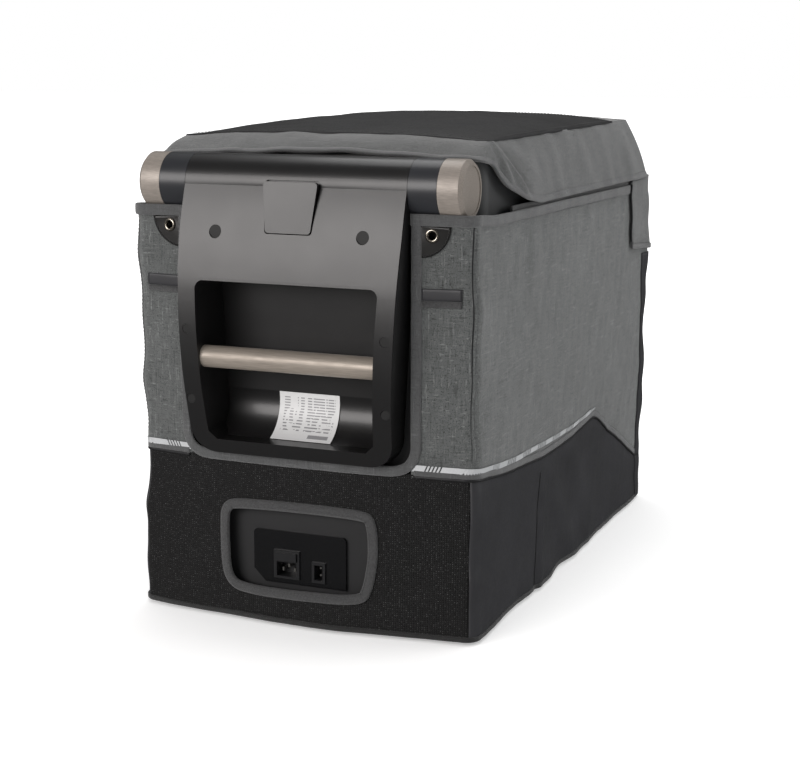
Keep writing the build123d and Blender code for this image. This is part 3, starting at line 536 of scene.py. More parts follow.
def stand_off(s, z, base):
    """How far the cloth stands off its flat pattern."""
    f = folded(s)
    from_corner = np.minimum(np.abs(f - corner_near), np.abs(f - corner_far))
    at_corner = np.exp(-((from_corner / 26) ** 2))
    on_side = np.clip((f - corner_near) * (corner_far - f) / 9000, 0, 1)
    share = np.clip((f - corner_near) / (corner_far - corner_near), 0, 1)
    crown = 2.0 * np.sin(np.pi * share) ** 0.7 * np.sin(np.pi * np.clip(z / rim_side, 0, 1)) ** 0.8 * on_side
    seams = (-1.0 * np.exp(-(((z - lower_edge(s)) / 9) ** 2))
             - 0.8 * np.exp(-(((z - rim_height(s) + 14) / 9) ** 2)))
    side_sign = np.sign(base[..., 0])
    ripple = 1.7 * np.sin(z / 27 + 1.7 * side_sign) + 1.2 * np.sin(z / 11.5 + 2.3 * side_sign)
    swell = 2.4 * np.exp(-(((z - 375) / 45) ** 2))
    hem_wave = 2.0 * np.exp(-z / 22) * np.sin(s / 31 + 0.6)
    y = base[..., 1]
    from_seam = y + 133 + 0.09 * (144 - z)
    upright = on_side * (
        -2.4 * np.exp(-((from_seam / 5) ** 2)) * np.clip((150 - z) / 30, 0, 1)
        + 2.2 * np.exp(-(((from_seam - 13) / 9) ** 2)) * np.clip((150 - z) / 30, 0, 1)
    )
    slanted = on_side * np.clip((162 - z) / 30, 0, 1) * (
        2.4 * np.sin((y + 0.9 * z) / 17 + 0.8) * np.exp(-(((y + 20) / 90) ** 2))
        + 1.8 * np.sin((y - 0.5 * z) / 21) * np.exp(-(((y - 120) / 90) ** 2))
    )
    under_rim = np.exp(-(((z - 405) / 42) ** 2))
    pinches = on_side * 1.4 * waves(base * [1, 1, 0.18], 41, 18, 0.008, 0.030) * under_rim
    folds = 1.6 * waves(base, 3) + 0.5 * waves(base, 7, 22, 0.012, 0.05)
    near_barrel = (f < corner_near + 14) * np.clip((corner_near + 14 - f) / 22, 0, 1)
    over_caps = np.clip(barrel_front + y, 0, 9) * np.exp(-(((z - 456) / 20) ** 2)) * near_barrel
    corners = at_corner * (ripple * np.clip(z / 60, 0, 1) + swell)
    return crown + seams + corners + hem_wave + upright + slanted + pinches + folds + over_caps


def bag_point(s, z, lift=0.0):
    """A point of the bag, lift millimetres proud of the cloth."""
    s, z = np.broadcast_arrays(np.asarray(s, float), np.asarray(z, float))
    wrapped = s % (2 * half_total)
    base = np.stack([np.interp(wrapped, loop_lengths, loop_points[:, k]) for k in (0, 1)] + [z], -1)
    out = np.stack([np.interp(wrapped, loop_lengths, loop_normals[:, k]) for k in (0, 1)] + [0 * z], -1)
    out /= np.linalg.norm(out, axis=-1)[..., None]
    return base + out * (stand_off(s, z, base) + lift)[..., None]


def on_bag(s, z, lift=0.0):
    """Points and outward directions along a line on the bag."""
    points = bag_point(s, z, lift)
    return points, bag_point(s, z, lift + 1.0) - points


def declare_sheet(piece):
    """Hands back a sheet of cloth unchanged."""
    return piece


def bag_sheet(name, starts, ends, bottom, top, material, thickness=2.6, lift=0.0, step=3.5, body="cabinet",
              keep=None):
    """A cloth panel of the bag between two lengths and two heights, given as numbers or functions."""
    columns = max(2, int(abs(ends - starts) / step) + 1)
    s = np.linspace(starts, ends, columns)
    low = bottom(s) if callable(bottom) else np.full(columns, float(bottom))
    high = top(s) if callable(top) else np.full(columns, float(top))
    rows = max(2, int(np.max(high - low) / step) + 1)
    share = np.linspace(0, 1, rows)[:, None]
    z = low[None, :] * (1 - share) + high[None, :] * share
    across = np.broadcast_to(s, z.shape)
    faces = grid_faces(rows, columns)
    if keep is not None:
        middle_s = across.reshape(-1)[np.array(faces)].mean(1)
        middle_z = z.reshape(-1)[np.array(faces)].mean(1)
        faces = [f for f, kept in zip(faces, keep(middle_s, middle_z)) if kept]
    piece = add_mesh(name, bag_point(across, z, lift).reshape(-1, 3), faces, material, body)
    drop_loose(piece)
    face_away(piece)
    thicken(piece, thickness)
    return declare_sheet(piece)


def drop_loose(piece):
    """Deletes points that no face uses."""
    bm = bmesh.new()
    bm.from_mesh(piece.data)
    bmesh.ops.delete(bm, geom=[v for v in bm.verts if not v.link_faces], context="VERTS")
    bm.to_mesh(piece.data)
    bm.free()


def band_section(thickness):
    """Section of a tape one unit wide, with rolled edges: (across, out) pairs."""
    left = ((-0.5, -0.8), (-0.5, 0.5 * thickness), (-0.42, 0.9 * thickness), (-0.25, thickness))
    right = tuple((-across, out) for across, out in reversed(left))
    return (*left, (0, 1.04 * thickness), *right)


def sweep_band(name, path, out, width, thickness, material, closed=False, body="cabinet"):
    """A tape along path, facing out; width is a number or one per point."""
    path = np.asarray(path, float)
    out = np.asarray(out, float)
    out = out / np.linalg.norm(out, axis=1)[:, None]
    along = np.roll(path, -1, 0) - np.roll(path, 1, 0) if closed else np.gradient(path, axis=0)
    along /= np.linalg.norm(along, axis=1)[:, None]
    across = np.cross(out, along)
    across /= np.linalg.norm(across, axis=1)[:, None]
    widths = np.broadcast_to(np.asarray(width, float), (len(path),))
    section = band_section(thickness)
    points = np.stack([path + across * (a * widths)[:, None] + out * o for a, o in section], 1)
    count = len(section)
    faces = grid_faces(len(path), count, closed=True)
    last = (len(path) - 1) * count
    if closed:
        faces += [(last + c, last + (c + 1) % count, (c + 1) % count, c) for c in range(count)]
    else:
        faces += [tuple(range(count))[::-1], tuple(last + c for c in range(count))]
    return mend_normals(add_mesh(name, points.reshape(-1, 3), faces, material, body))


def stitch_row(name, path, out, spacing, length, gauge, material, body="cabinet", slant=0.0):
    """A row of separate thread stitches along a path; slant leans each one."""
    path = np.asarray(path, float)
    out = np.asarray(out, float)
    steps = np.concatenate([[0], np.cumsum(np.linalg.norm(np.diff(path, axis=0), axis=1))])
    rings = ((0, -0.25, 0.35), (0.18, 0.35, 1), (0.5, 0.5, 1.05), (0.82, 0.35, 1), (1, -0.25, 0.35))
    points, faces = [], []
    for number, start in enumerate(np.arange(spacing / 2, steps[-1] - length, spacing)):
        first = np.array([np.interp(start, steps, path[:, k]) for k in range(3)])
        last = np.array([np.interp(start + length, steps, path[:, k]) for k in range(3)])
        normal = np.array([np.interp(start, steps, out[:, k]) for k in range(3)])
        normal /= np.linalg.norm(normal)
        along = (last - first) / np.linalg.norm(last - first)
        across = np.cross(normal, along)
        lean = slant * (1 if number % 2 else -1)
        first, last = first - across * lean, last + across * lean
        base = len(points)
        for share, lift, size in rings:
            centre = first * (1 - share) + last * share + normal * lift * gauge
            for quarter in (1, 3, 5, 7):
                angle = quarter * math.pi / 4
                spoke = across * math.cos(angle) + normal * math.sin(angle)
                points.append(centre + spoke * gauge / 2 * size)
        for ring in range(4):
            for corner in range(4):
                low, d = base + ring * 4, (corner + 1) % 4
                faces.append((low + corner, low + d, low + 4 + d, low + 4 + corner))
        faces += [(base + 3, base + 2, base + 1, base), tuple(base + 16 + c for c in range(4))]
    return mend_normals(add_mesh(name, points, faces, material, body))


def rounded_path(corners, radius, step=3.0):
    """A flat path through corners, each rounded by an arc; the corners are (x, z)."""
    corners = [np.array(c, float) for c in corners]
    path = [corners[0]]
    for before, corner, after in zip(corners, corners[1:], corners[2:]):
        one, two = before - corner, after - corner
        one, two = one / np.linalg.norm(one), two / np.linalg.norm(two)
        half = math.acos(float(np.clip(one @ two, -1, 1))) / 2
        reach = radius / math.tan(half)
        for share in np.linspace(0, 1, 13):
            a, b = corner + one * reach * (1 - share), corner + two * reach * share
            path.append(a * (1 - share) + b * share)
    path.append(corners[-1])
    dense = []
    for a, b in zip(path, path[1:]):
        count = max(1, int(np.linalg.norm(b - a) / step))
        dense += [a + (b - a) * k / count for k in range(count)]
    return np.array(dense + [path[-1]])


def on_end(path, far=False, lift=0.0):
    """A flat (x, z) path carried on to an end wall of the bag."""
    x, z = np.asarray(path, float).T
    s = np.sign(x) * np.interp(np.abs(x), half_points[:end_samples, 0], half_lengths[:end_samples])
    if far:
        s = half_total - s
    return on_bag(s, z, lift)


# ---------------------------------------------------------------- the bag
window = ((-88, 112), (-86, 127), (-73, 135.5), (80, 136.5), (88, 126), (90.5, 92), (84, 52), (74, 39.5),
          (0, 37.5), (-66, 37.5), (-82, 46), (-86, 66))


def window_path():
    """The closed middle line of the window's binding, as (x, z)."""
    loop = np.array(window, float)
    for _ in range(3):
        after = np.roll(loop, -1, 0)
        loop = np.stack([0.75 * loop + 0.25 * after, 0.25 * loop + 0.75 * after], 1).reshape(-1, 2)
    return loop


def inside_window(x, z):
    """Whether points lie inside the middle line of the window's binding."""
    loop = window_path()
    inside = np.zeros(np.shape(x), bool)
    for (x1, z1), (x2, z2) in zip(loop, np.roll(loop, -1, 0)):
        crosses = (z1 > z) != (z2 > z)
        reach = x1 + (z - z1) * (x2 - x1) / np.where(z2 == z1, 1e-9, z2 - z1)
        inside ^= crosses & (x < reach)
    return inside


def build_walls():
    """Grey upper walls, black mesh ends, vinyl sides and the black bands on the far corners."""
    for side, word in ((1, "right"), (-1, "left")):
        upper = bag_sheet(f"bag_upper_{word}", side * cut_near, side * cut_far,
                          lambda s: lower_edge(s) - 1.0, rim_height, HEATHER)
        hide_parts(f"cover_side_{word}", "cover_strips_hinge_end", "cover_strips_control_end")
        vinyl = bag_sheet(f"bag_vinyl_{word}", side * (corner_near - 1), side * at_y(314), hem_height,
                          lambda s: lower_edge(s) + 0.5, VINYL, lift=0.5)
        band = bag_sheet(f"bag_corner_band_{word}", side * at_y(312), side * (corner_far - 2),
                         hem_height, 354, VINYL, thickness=3.0, lift=1.6)
    for far, place in ((False, "hinge_end"), (True, "control_end")):
        middle = half_total if far else 0.0

        def outside_window(s, z, turn=middle):
            x = (s - turn) if not far else (turn - s)
            return ~inside_window(x * 0.985, z)

        mesh = bag_sheet(f"bag_mesh_{place}", middle - corner_near, middle + corner_near,
                         hem_height, 183.5, MESH, step=3.0, keep=outside_window)
        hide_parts(f"cover_lower_{place}")


def build_bindings():
    """Tapes, piping, strips and stitching on the bag."""
    for side, word in ((1, "right"), (-1, "left")):
        s = side * np.arange(cut_near - 1, cut_far + 1, 4.0)
        path, out = on_bag(s, rim_height(s) - 5.6, 0.4)
        sweep_band(f"bag_rim_{word}", path, out, 12.0, 1.7, EDGE_CLOTH)
        low_path, low_out = on_bag(s, rim_height(s) - 10.6, 2.0)
        stitch_row(f"bag_rim_stitches_{word}", low_path, low_out, 4.2, 2.8, 0.7, THREAD)
        zip_s = side * np.arange(at_y(-236), corner_far, 4.0)
        path, out = on_bag(zip_s, rim_height(zip_s) + 2.2, -2.6)
        sweep_band(f"bag_zip_{word}", path, out, 8.0, 1.6, ZIP)
        for near, far_word in ((True, "near"), (False, "far")):
            z = np.arange(200, 447, 4.0)
            at = side * (corner_near if near else corner_far)
            fade = 0.4 + 1.2 * np.clip((z - 200) / 120, 0, 1)
            path, out = on_bag(np.full(len(z), at), z, -0.35)
            sweep_band(f"bag_corner_seam_{far_word}_{word}", path, out, fade, 0.5, PIPING)
            path, out = on_bag(np.full(len(z), at + 4.5 * side * (1 if near else -1)), z, -0.12)
            stitch_row(f"bag_corner_stitches_{far_word}_{word}", path, out, 4.4, 2.9, 0.5, THREAD)
        s = side * np.arange(cut_near + 3, at_y(330), 3.0)
        path, out = on_bag(s, lower_edge(s) - 0.4, 0.5)
        sweep_band(f"vinyl_piping_{word}", path, out, 2.8, 1.6, PIPING)
        path, out = on_bag(s, lower_edge(s) + 4.6, 0.3)
        sweep_band(f"vinyl_binding_{word}", path, out, 7.6, 1.0, EDGE_CLOTH)
        z = np.arange(6, 146, 4.0)
        s = side * at_y(-133 + 0.09 * (z - 144))
        path, out = on_bag(s, z, 0.6)
        sweep_band(f"vinyl_seam_{word}", path, out, 1.8, 0.6, PIPING)
    s = np.arange(0, 2 * half_total, 4.0)
    path, out = on_bag(s, np.full(len(s), hem_height + 2.4), 0.4)
    sweep_band("bag_hem", path, out, 5.6, 1.0, ZIP, closed=True)
    for far, place in ((False, "hinge_end"), (True, "control_end")):
        mid = cut_x + binding / 2
        u_path = rounded_path([(mid, rim_end - 0.5), (mid, 185.5), (-mid, 185.5), (-mid, rim_end - 0.5)], 30)
        path, out = on_end(u_path, far, 0.5)
        sweep_band(f"cutout_binding_{place}", path, out, binding, 2.0, EDGE_CLOTH)
        row = mid + 4.2
        outer = rounded_path([(row, 440), (row, 181.5), (-row, 181.5), (-row, 440)], 34)
        path, out = on_end(outer, far, 2.1)
        stitch_row(f"cutout_stitches_{place}", path, out, 4.4, 2.9, 0.6, THREAD)
        loop = window_path()
        path, out = on_end(loop, far, 0.5)
        sweep_band(f"window_binding_{place}", path, out, 11.0, 2.4, BINDING, closed=True)
        inner = loop * 0.955 + np.array((0.5, 87)) * 0.045
        path, out = on_end(inner, far, 2.9)
        stitch_row(f"window_stitches_{place}", path, out, 4.2, 2.7, 0.6, THREAD)
    edges = ((374, 13, 1.3, VINYL, "fold"), (364.6, 7, 2.3, BINDING, "binding"))
    for side, word in ((1, "right"), (-1, "left")):
        x = np.linspace(side * (cut_x + binding), side * (bag_half_width - bag_corner), 18)
        for z, width, thick, material, label in edges:
            path, out = on_end(np.stack([x, np.full(18, z)], 1), lift=0.2)
            sweep_band(f"pocket_{label}_{word}", path, out, width, thick, material)
        path, out = on_end(np.stack([x, np.full(18, 366.4)], 1), lift=2.5)
        stitch_row(f"pocket_stitches_{word}", path, out, 4.2, 2.8, 0.6, THREAD)


def strip_height(f):
    """Middle height of the reflective strip."""
    knots_y = (-400, -349, -312, -218, -128, -22, 91, 110)
    knots_z = (191.5, 190.5, 186, 178, 175, 172, 175.5, 177)
    return np.interp(np.interp(f, half_lengths, half_points[:, 1]), knots_y, knots_z)


def build_reflective_strips():
    """Silver tape in solid lengths with groups of slanted slashes between them."""
    for side, word in ((1, "right"), (-1, "left")):
        points, faces = [], []
        start, end = cut_near + binding - 9, at_y(102)

        def patch(a, b, lean, thick=0.7):
            """One piece of tape from a to b; lean slants its ends."""
            columns = max(2, int((b - a) / 3) + 1)
            base = len(points)
            for level in (0.35, 0.35 + thick):
                for up in (-0.5, 0.5):
                    f = np.linspace(a, b, columns) + lean * up
                    fade = np.clip((end - f) / 30, 0, 1)
                    width = (7.0 - 3.0 * np.clip((f - start) / (end - start), 0, 1)) * (0.25 + 0.75 * fade)
                    points.extend(bag_point(side * f, strip_height(f) + up * width, level))
            low, high, low_top, high_top = (base + columns * k for k in range(4))
            for c in range(columns - 1):
                for first, second in ((low_top, high_top), (low, low_top), (high_top, high)):
                    faces.append((first + c, first + c + 1, second + c + 1, second + c))
            for c in (0, columns - 1):
                faces.append((low + c, low_top + c, high_top + c, high + c))

        place, solid, slash, pitch = start, 13.6, 2.2, 3.9
        while place < end - 8:
            stop = min(place + solid, end)
            patch(place, stop, 3.2)
            place = stop + pitch - slash
            for _ in range(4):
                if place + slash < end - 8:
                    patch(place, place + slash, 3.2)
                    place += pitch
            solid = 78.0 if solid < 20 else 27.0
            if solid == 27.0:
                slash, pitch = 3.0, 6.2
        strip = mend_normals(add_mesh(f"reflective_strip_{word}", points, faces, SILVER, smooth=False))


def build_eyelets():
    """Leather patches and rolled metal eyelets, with real holes through patch and cloth."""
    patch_x, patch_z = 140.5, 444.0
    section = [(3.9, -6), (3.9, 0.4), (4.5, 1.3), (5.4, 1.7), (6.5, 1.4), (7.2, 0.7), (7.5, 0.0),
               (7.0, -0.5), (4.9, -0.6), (4.9, -6)]
    count = len(section)
    turns = 40
    cutters = []
    parts_points, parts_faces = [], []
    for far, place in ((False, "hinge"), (True, "control")):
        for side, word in ((1, "right"), (-1, "left")):
            radii = np.linspace(0.5, 32, 14)
            angles = np.linspace(0, math.pi / 2, 16)
            flat = [(side * (patch_x + r * math.cos(a)), patch_z - r * math.sin(a))
                    for r in radii for a in angles]
            path, _ = on_end(flat, far, 1.5)
            patch = add_mesh(f"eyelet_patch_{place}_{word}", path, grid_faces(14, 16), PATCH)
            face_away(patch)
            thicken(patch, 1.4)
            arc = [(side * (patch_x + 30.4 * math.cos(a)), patch_z - 30.4 * math.sin(a))
                   for a in np.linspace(0.03, 1.54, 24)]
            path, out = on_end(arc, far, 1.55)
            stitch_row(f"eyelet_stitches_{place}_{word}", path, out, 2.6, 1.9, 0.65, THREAD, slant=0.9)
            centre, out = on_end([(side * 153.0, 435.0)], far, 1.5)
            axis = out[0] / np.linalg.norm(out[0])
            level = np.cross((0, 0, 1), axis)
            level /= np.linalg.norm(level)
            upward = np.cross(axis, level)
            base = len(parts_points)
            for k in range(turns):
                turn = 2 * math.pi * k / turns
                radial = level * math.cos(turn) + upward * math.sin(turn)
                parts_points += [centre[0] + radial * r + axis * o for r, o in section]
            for k in range(turns):
                this, following = base + k * count, base + (k + 1) % turns * count
                for c in range(count):
                    d = (c + 1) % count
                    parts_faces.append((this + c, this + d, following + d, following + c))
            cutters.append((centre[0], axis, side, patch))
    ring = mend_normals(add_mesh("eyelets", parts_points, parts_faces, EYELET))
    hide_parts("cover_eyelets")
    for centre, axis, side, patch in cutters:
        wall = bpy.data.objects["bag_upper_right" if side > 0 else "bag_upper_left"]
        for target in (patch, wall):
            drill(target, centre, axis, 4.6)


def drill(piece, centre, axis, radius):
    """Cuts a round hole through a piece."""
    bm = bmesh.new()
    bmesh.ops.create_cone(bm, cap_ends=True, segments=28, radius1=radius * MM, radius2=radius * MM,
                          depth=0.03)
    mesh = bpy.data.meshes.new("drill")
    bm.to_mesh(mesh)
    bm.free()
    tool = bpy.data.objects.new("drill", mesh)
    tool.location = Vector(centre) * MM
    tool.rotation_euler = Vector(axis).to_track_quat("Z", "Y").to_euler()
    bpy.context.scene.collection.objects.link(tool)
    bpy.context.view_layer.update()
    cut = piece.modifiers.new("hole", "BOOLEAN")
    cut.object = tool
    cut.operation = "DIFFERENCE"
    cut.solver = "EXACT"
    apply_modifiers(piece)
    bpy.data.objects.remove(tool)


build_walls()
build_bindings()
build_reflective_strips()
build_eyelets()

# ---------------------------------------------------------------- the lid's cover
lid_front, lid_rear = -272.0, 327.0
insert_rear = 228.0


def lid_edge_x(y):
    """Half width of the lid's top at y, with rounded corners."""
    y = np.asarray(y, float)
    straight = 183 - 7 * (y - lid_front) / (lid_rear - lid_front)
    near = 11 - np.sqrt(np.clip(121 - np.clip(lid_front + 11 - y, 0, 11) ** 2, 0, None))
    far = 26 - np.sqrt(np.clip(676 - np.clip(y - (lid_rear - 26), 0, 26) ** 2, 0, None))
    return straight - near - far


def lid_top_z(x, y):
    """Height of the lid cover's crowned top."""
    along = (y - lid_front) / (lid_rear - lid_front)
    edge = 527.5 + 9.5 * along
    centre = 549 - np.where(y < 20, 15.5 * ((y - 20) / 292) ** 2, 8.5 * ((y - 20) / 307) ** 2)
    u = np.clip(np.abs(x) / np.maximum(lid_edge_x(y), 1), 0, 1)
    return edge + (centre - edge) * (1 - u**3.2)


def lid_stations():
    """Matching points of the top edge and the hem, from the front's middle round the right to the rear's."""
    top, hem = [], []
    for share in np.linspace(0, 1, 46)[:-1]:
        x = 172 * share
        top.append((x, lid_front, lid_top_z(x, lid_front)))
        hem.append((179 * share, -318.5, 515.5 - 5 * share**2))
    hem_corner = [(179, -318.5, 510.5), (186, -314, 509.5), (189.5, -304, 509), (190.3, -290, 508),
                  (190.5, -279, 504)]
    for share in np.linspace(0, 1, 15)[:-1]:
        y = lid_front + 11 * share**1.5
        top.append((lid_edge_x(y), y, lid_top_z(lid_edge_x(y), y)))
        hem.append(tuple(np.interp(share * 4, range(5), [p[k] for p in hem_corner]) for k in range(3)))
    hem_y = (-279, -272.5, -262, -244, -195, -140, 0, 318)
    hem_z = (504, 496, 488, 478, 463, 456.5, 457.5, 459.5)
    for share in np.linspace(0, 1, 150)[:-1]:
        y = -261 + (301 + 261) * share
        top.append((lid_edge_x(y), y, lid_top_z(lid_edge_x(y), y)))
        y = -279 + (318 + 279) * share
        z = np.interp(y, hem_y, hem_z)
        out = 3.2 * np.clip((y - 190) / 60, 0, 1)
        hem.append((190 + 10.5 * (522 - z) / 66 + out, y, z))
    for share in np.linspace(0, 1, 17)[:-1]:
        angle = math.pi / 2 * share
        y = 301 + 26 * math.sin(angle)
        top.append((lid_edge_x(301) - 26 + 26 * math.cos(angle), y, lid_top_z(lid_edge_x(y), y)))
        hem.append((203.4 - 29 + 29 * math.cos(angle), 318 + 31 * math.sin(angle), 459.5 - 2 * share))
    end_x = top[-1][0]
    for share in np.linspace(0, 1, 50):
        x = (1 - share) * 150
        top.append((min(x, end_x), lid_rear, lid_top_z(x, lid_rear - 0.5)))
        x = (1 - share) * 174.4
        hem.append((x, 349 + 12 * (1 - (x / 174.4) ** 2) * 0.35, 457.5))
    return np.array(top), np.array(hem)


def ridge(y, z, start, end, width, height):
    """A fold's height at (y, z): a crest along the line from start to end."""
    start, end = np.array(start, float), np.array(end, float)
    line = end - start
    share = np.clip(((y - start[0]) * line[0] + (z - start[1]) * line[1]) / (line @ line), 0, 1)
    away = np.hypot(y - start[0] - share * line[0], z - start[1] - share * line[1])
    return height * np.exp(-((away / width) ** 2)) * np.sin(np.pi * np.clip(share * 0.92 + 0.06, 0, 1)) ** 0.6


def build_lid_border():
    """The grey border of the lid's cover: front apron, side skirts and rear skirt in one belt."""
    top, hem = lid_stations()
    top = np.vstack([top, top[::-1][1:] * [-1, 1, 1]])[:-1]
    hem = np.vstack([hem, hem[::-1][1:] * [-1, 1, 1]])[:-1]
    for _ in range(2):
        hem = (np.roll(hem, 1, 0) + 2 * hem + np.roll(hem, -1, 0)) / 4
    rows = 26
    share = np.linspace(0, 1, rows)[:, None, None]
    points = top[None] * (1 - share) + hem[None] * share
    drop = np.linalg.norm(hem - top, axis=1)[None, :]
    down = (hem - top) / np.linalg.norm(hem - top, axis=1)[:, None]
    along = np.roll(top + hem, -1, 0) - np.roll(top + hem, 1, 0)
    normal = np.cross(along, down)
    normal /= np.linalg.norm(normal, axis=1)[:, None]
    away = np.where((normal * (top - [0, 0, 470])).sum(1) < 0, -1, 1)
    normal *= away[:, None]
    v = share[:, :, 0]
    puff = np.clip(drop / 70, 0.8, 1) * 2.6 * np.sin(np.pi * v) ** 0.8
    y, z = points[..., 1], points[..., 2]
    on_side = np.clip((np.abs(points[..., 0]) - 165) / 15, 0, 1)
    creases = on_side * (
        ridge(y, z, (-259, 521), (-188, 464), 5.5, 4.6)
        - ridge(y, z, (-252, 521), (-176, 466), 5.0, 2.6)
        + ridge(y, z, (-263, 516), (-232, 480), 5.0, 3.0)
        - ridge(y, z, (-266, 505), (-247, 484), 4.5, 2.4)
        + ridge(y, z, (-236, 522), (-150, 492), 9.0, 1.6)
    )
    folds = 2.0 * waves(points, 19, 16, 0.003, 0.013) * np.sin(np.pi * np.clip(v, 0.02, 1) * 0.75)
    small = 1.0 * waves(points * [1, 1, 0.35], 23, 22, 0.012, 0.04) * np.clip(drop / 60, 0.4, 1)
    points = points + normal[None] * (puff + creases + folds + small)[..., None]
    columns = len(top)
    faces = grid_faces(rows, columns, closed=True)
    flat_points = points.reshape(-1, 3)
    middles = flat_points[np.array(faces)].mean(1)
    latch_gap = (np.abs(middles[:, 0]) < 42) & (middles[:, 1] > 300) & (middles[:, 2] < 507)
    faces = [f for f, gone in zip(faces, latch_gap) if not gone]
    border = add_mesh("lid_cover_border", flat_points, faces, HEATHER_LID, "lid")
    drop_loose(border)
    face_away(border, (0, 0, 0.45))
    thicken(border, 2.6)
    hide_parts("lid_cover_sides", "lid_cover_ends")
    declare_sheet(border)
    outward = np.broadcast_to(normal, (columns, 3))
    keep = ~((np.abs(points[-1, :, 0]) < 42) & (points[-1, :, 1] > 300))
    first = int(np.argmax(~keep))
    order = np.roll(np.arange(columns), -(first + int((~keep).sum())))[: int(keep.sum())]
    bottom = points[-1, order] + down[order] * -3.2
    sweep_band("lid_hem_binding", bottom, outward[order], 8.5, 1.5, EDGE_CLOTH, body="lid")
    stitch_row("lid_hem_stitches", bottom - down[order] * 2.6, outward[order], 4.4, 2.9, 0.6, THREAD,
               body="lid")
    gap = [(-42, 457), (-42, 508), (42, 508), (42, 457)]
    path = rounded_path(gap, 6)
    depth = np.interp(path[:, 1], (457, 536), (352.4, 329))
    rim = np.stack([path[:, 0], depth + 2.0, path[:, 1]], 1)
    facing = np.tile((0, 0.96, 0.28), (len(rim), 1))
    sweep_band("latch_gap_binding", rim, facing, 7, 1.6, EDGE_CLOTH, body="lid")


def lid_panel(name, y_from, y_to, material, pad, thickness):
    """A panel of the lid's top between two lines across it, padded by pad."""
    rows = int((y_to - y_from) / 5) + 1
    columns = 75
    y = np.linspace(y_from, y_to, rows)[:, None]
    u = np.linspace(-1, 1, columns)[None, :]
    ease = np.sin(u * math.pi / 2) * 0.35 + u * 0.65
    x = ease * lid_edge_x(y)
    share = (y - y_from) / (y_to - y_from)
    fullness = (1 - np.abs(u) ** 10) * (1 - np.abs(2 * share - 1) ** 14)
    z = lid_top_z(x, np.broadcast_to(y, x.shape)) + pad * fullness
    points = np.stack([x, np.broadcast_to(y, x.shape), z], -1)
    broad = 1.2 * waves(points, 31, 14, 0.003, 0.011)
    fine = 0.4 * waves(points, 33, 20, 0.015, 0.04)
    points[..., 2] += fullness * (broad + fine)
    piece = add_mesh(name, points.reshape(-1, 3), grid_faces(rows, columns), material, "lid")
    face_away(piece, (0, 0, 0.3))
    return thicken(piece, thickness)


def build_lid_top():
    """The black padded panel, the grey panel behind it and the seams round them."""
    insert = lid_panel("lid_cover_insert", lid_front, insert_rear, TOP_CLOTH, 1.6, 6.0)
    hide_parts("lid_cover_top")
    rear = lid_panel("lid_cover_rear_panel", insert_rear, lid_rear, HEATHER_LID, 0.6, 2.6)
    declare_sheet(rear)
    y = np.concatenate([np.full(60, lid_front), np.linspace(lid_front, insert_rear, 120)[1:]])
    x = np.concatenate([np.linspace(0, lid_edge_x(lid_front), 60), lid_edge_x(y[60:])])
    right = np.stack([x, y, lid_top_z(x, y)], 1)
    back_x = np.linspace(lid_edge_x(insert_rear), 0, 60)[1:]
    back = np.stack([back_x, np.full(59, insert_rear), lid_top_z(back_x, insert_rear)], 1)
    half = np.vstack([right, back])
    loop = np.vstack([half, half[::-1][1:-1] * [-1, 1, 1]])
    out = loop - [0, -20, 380]
    seam = sweep_band("insert_piping", loop, out, 2.8, 1.0, PIPING, closed=True, body="lid")
    inner = loop * [0.972, 0.978, 1] + [0, -0.5, 0]
    inner[:, 2] = lid_top_z(inner[:, 0], inner[:, 1]) + 1.7
    stitch_row("insert_stitches", inner, out, 4.6, 3.0, 0.55, THREAD, body="lid")


def build_flaps():
    """The corner flaps that hang from the lid's cover over the bag at the far end."""
    for side, word in ((1, "right"), (-1, "left")):
        start, end = at_y(242), half_total - at_x(168)

        def lean(s, first=start, last=end):
            """Height of the flap's slanted hem."""
            return np.interp(folded(s), (first, first + 6, last), (374, 366, 357))

        flap = bag_sheet(f"lid_flap_{word}", side * start, side * end, lean, lambda s: rim_height(s) + 5.5,
                         HEATHER_LID, thickness=2.4, lift=3.6, body="lid")
        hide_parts("lid_cover_flaps")
        s = np.arange(start + 2, end - 2, 4.0)
        path, out = on_bag(side * s, lean(s) + 3.4, 3.8)
        sweep_band(f"lid_flap_hem_{word}", path, out, 7.0, 1.2, EDGE_CLOTH, body="lid")
        z = np.arange(376, 456, 4.0)
        path, out = on_bag(np.full(len(z), side * (start + 0.5)), z, 3.2)
        sweep_band(f"lid_flap_edge_{word}", path, out, 4.0, 1.2, PIPING, body="lid")


build_lid_border()
build_lid_top()
build_flaps()

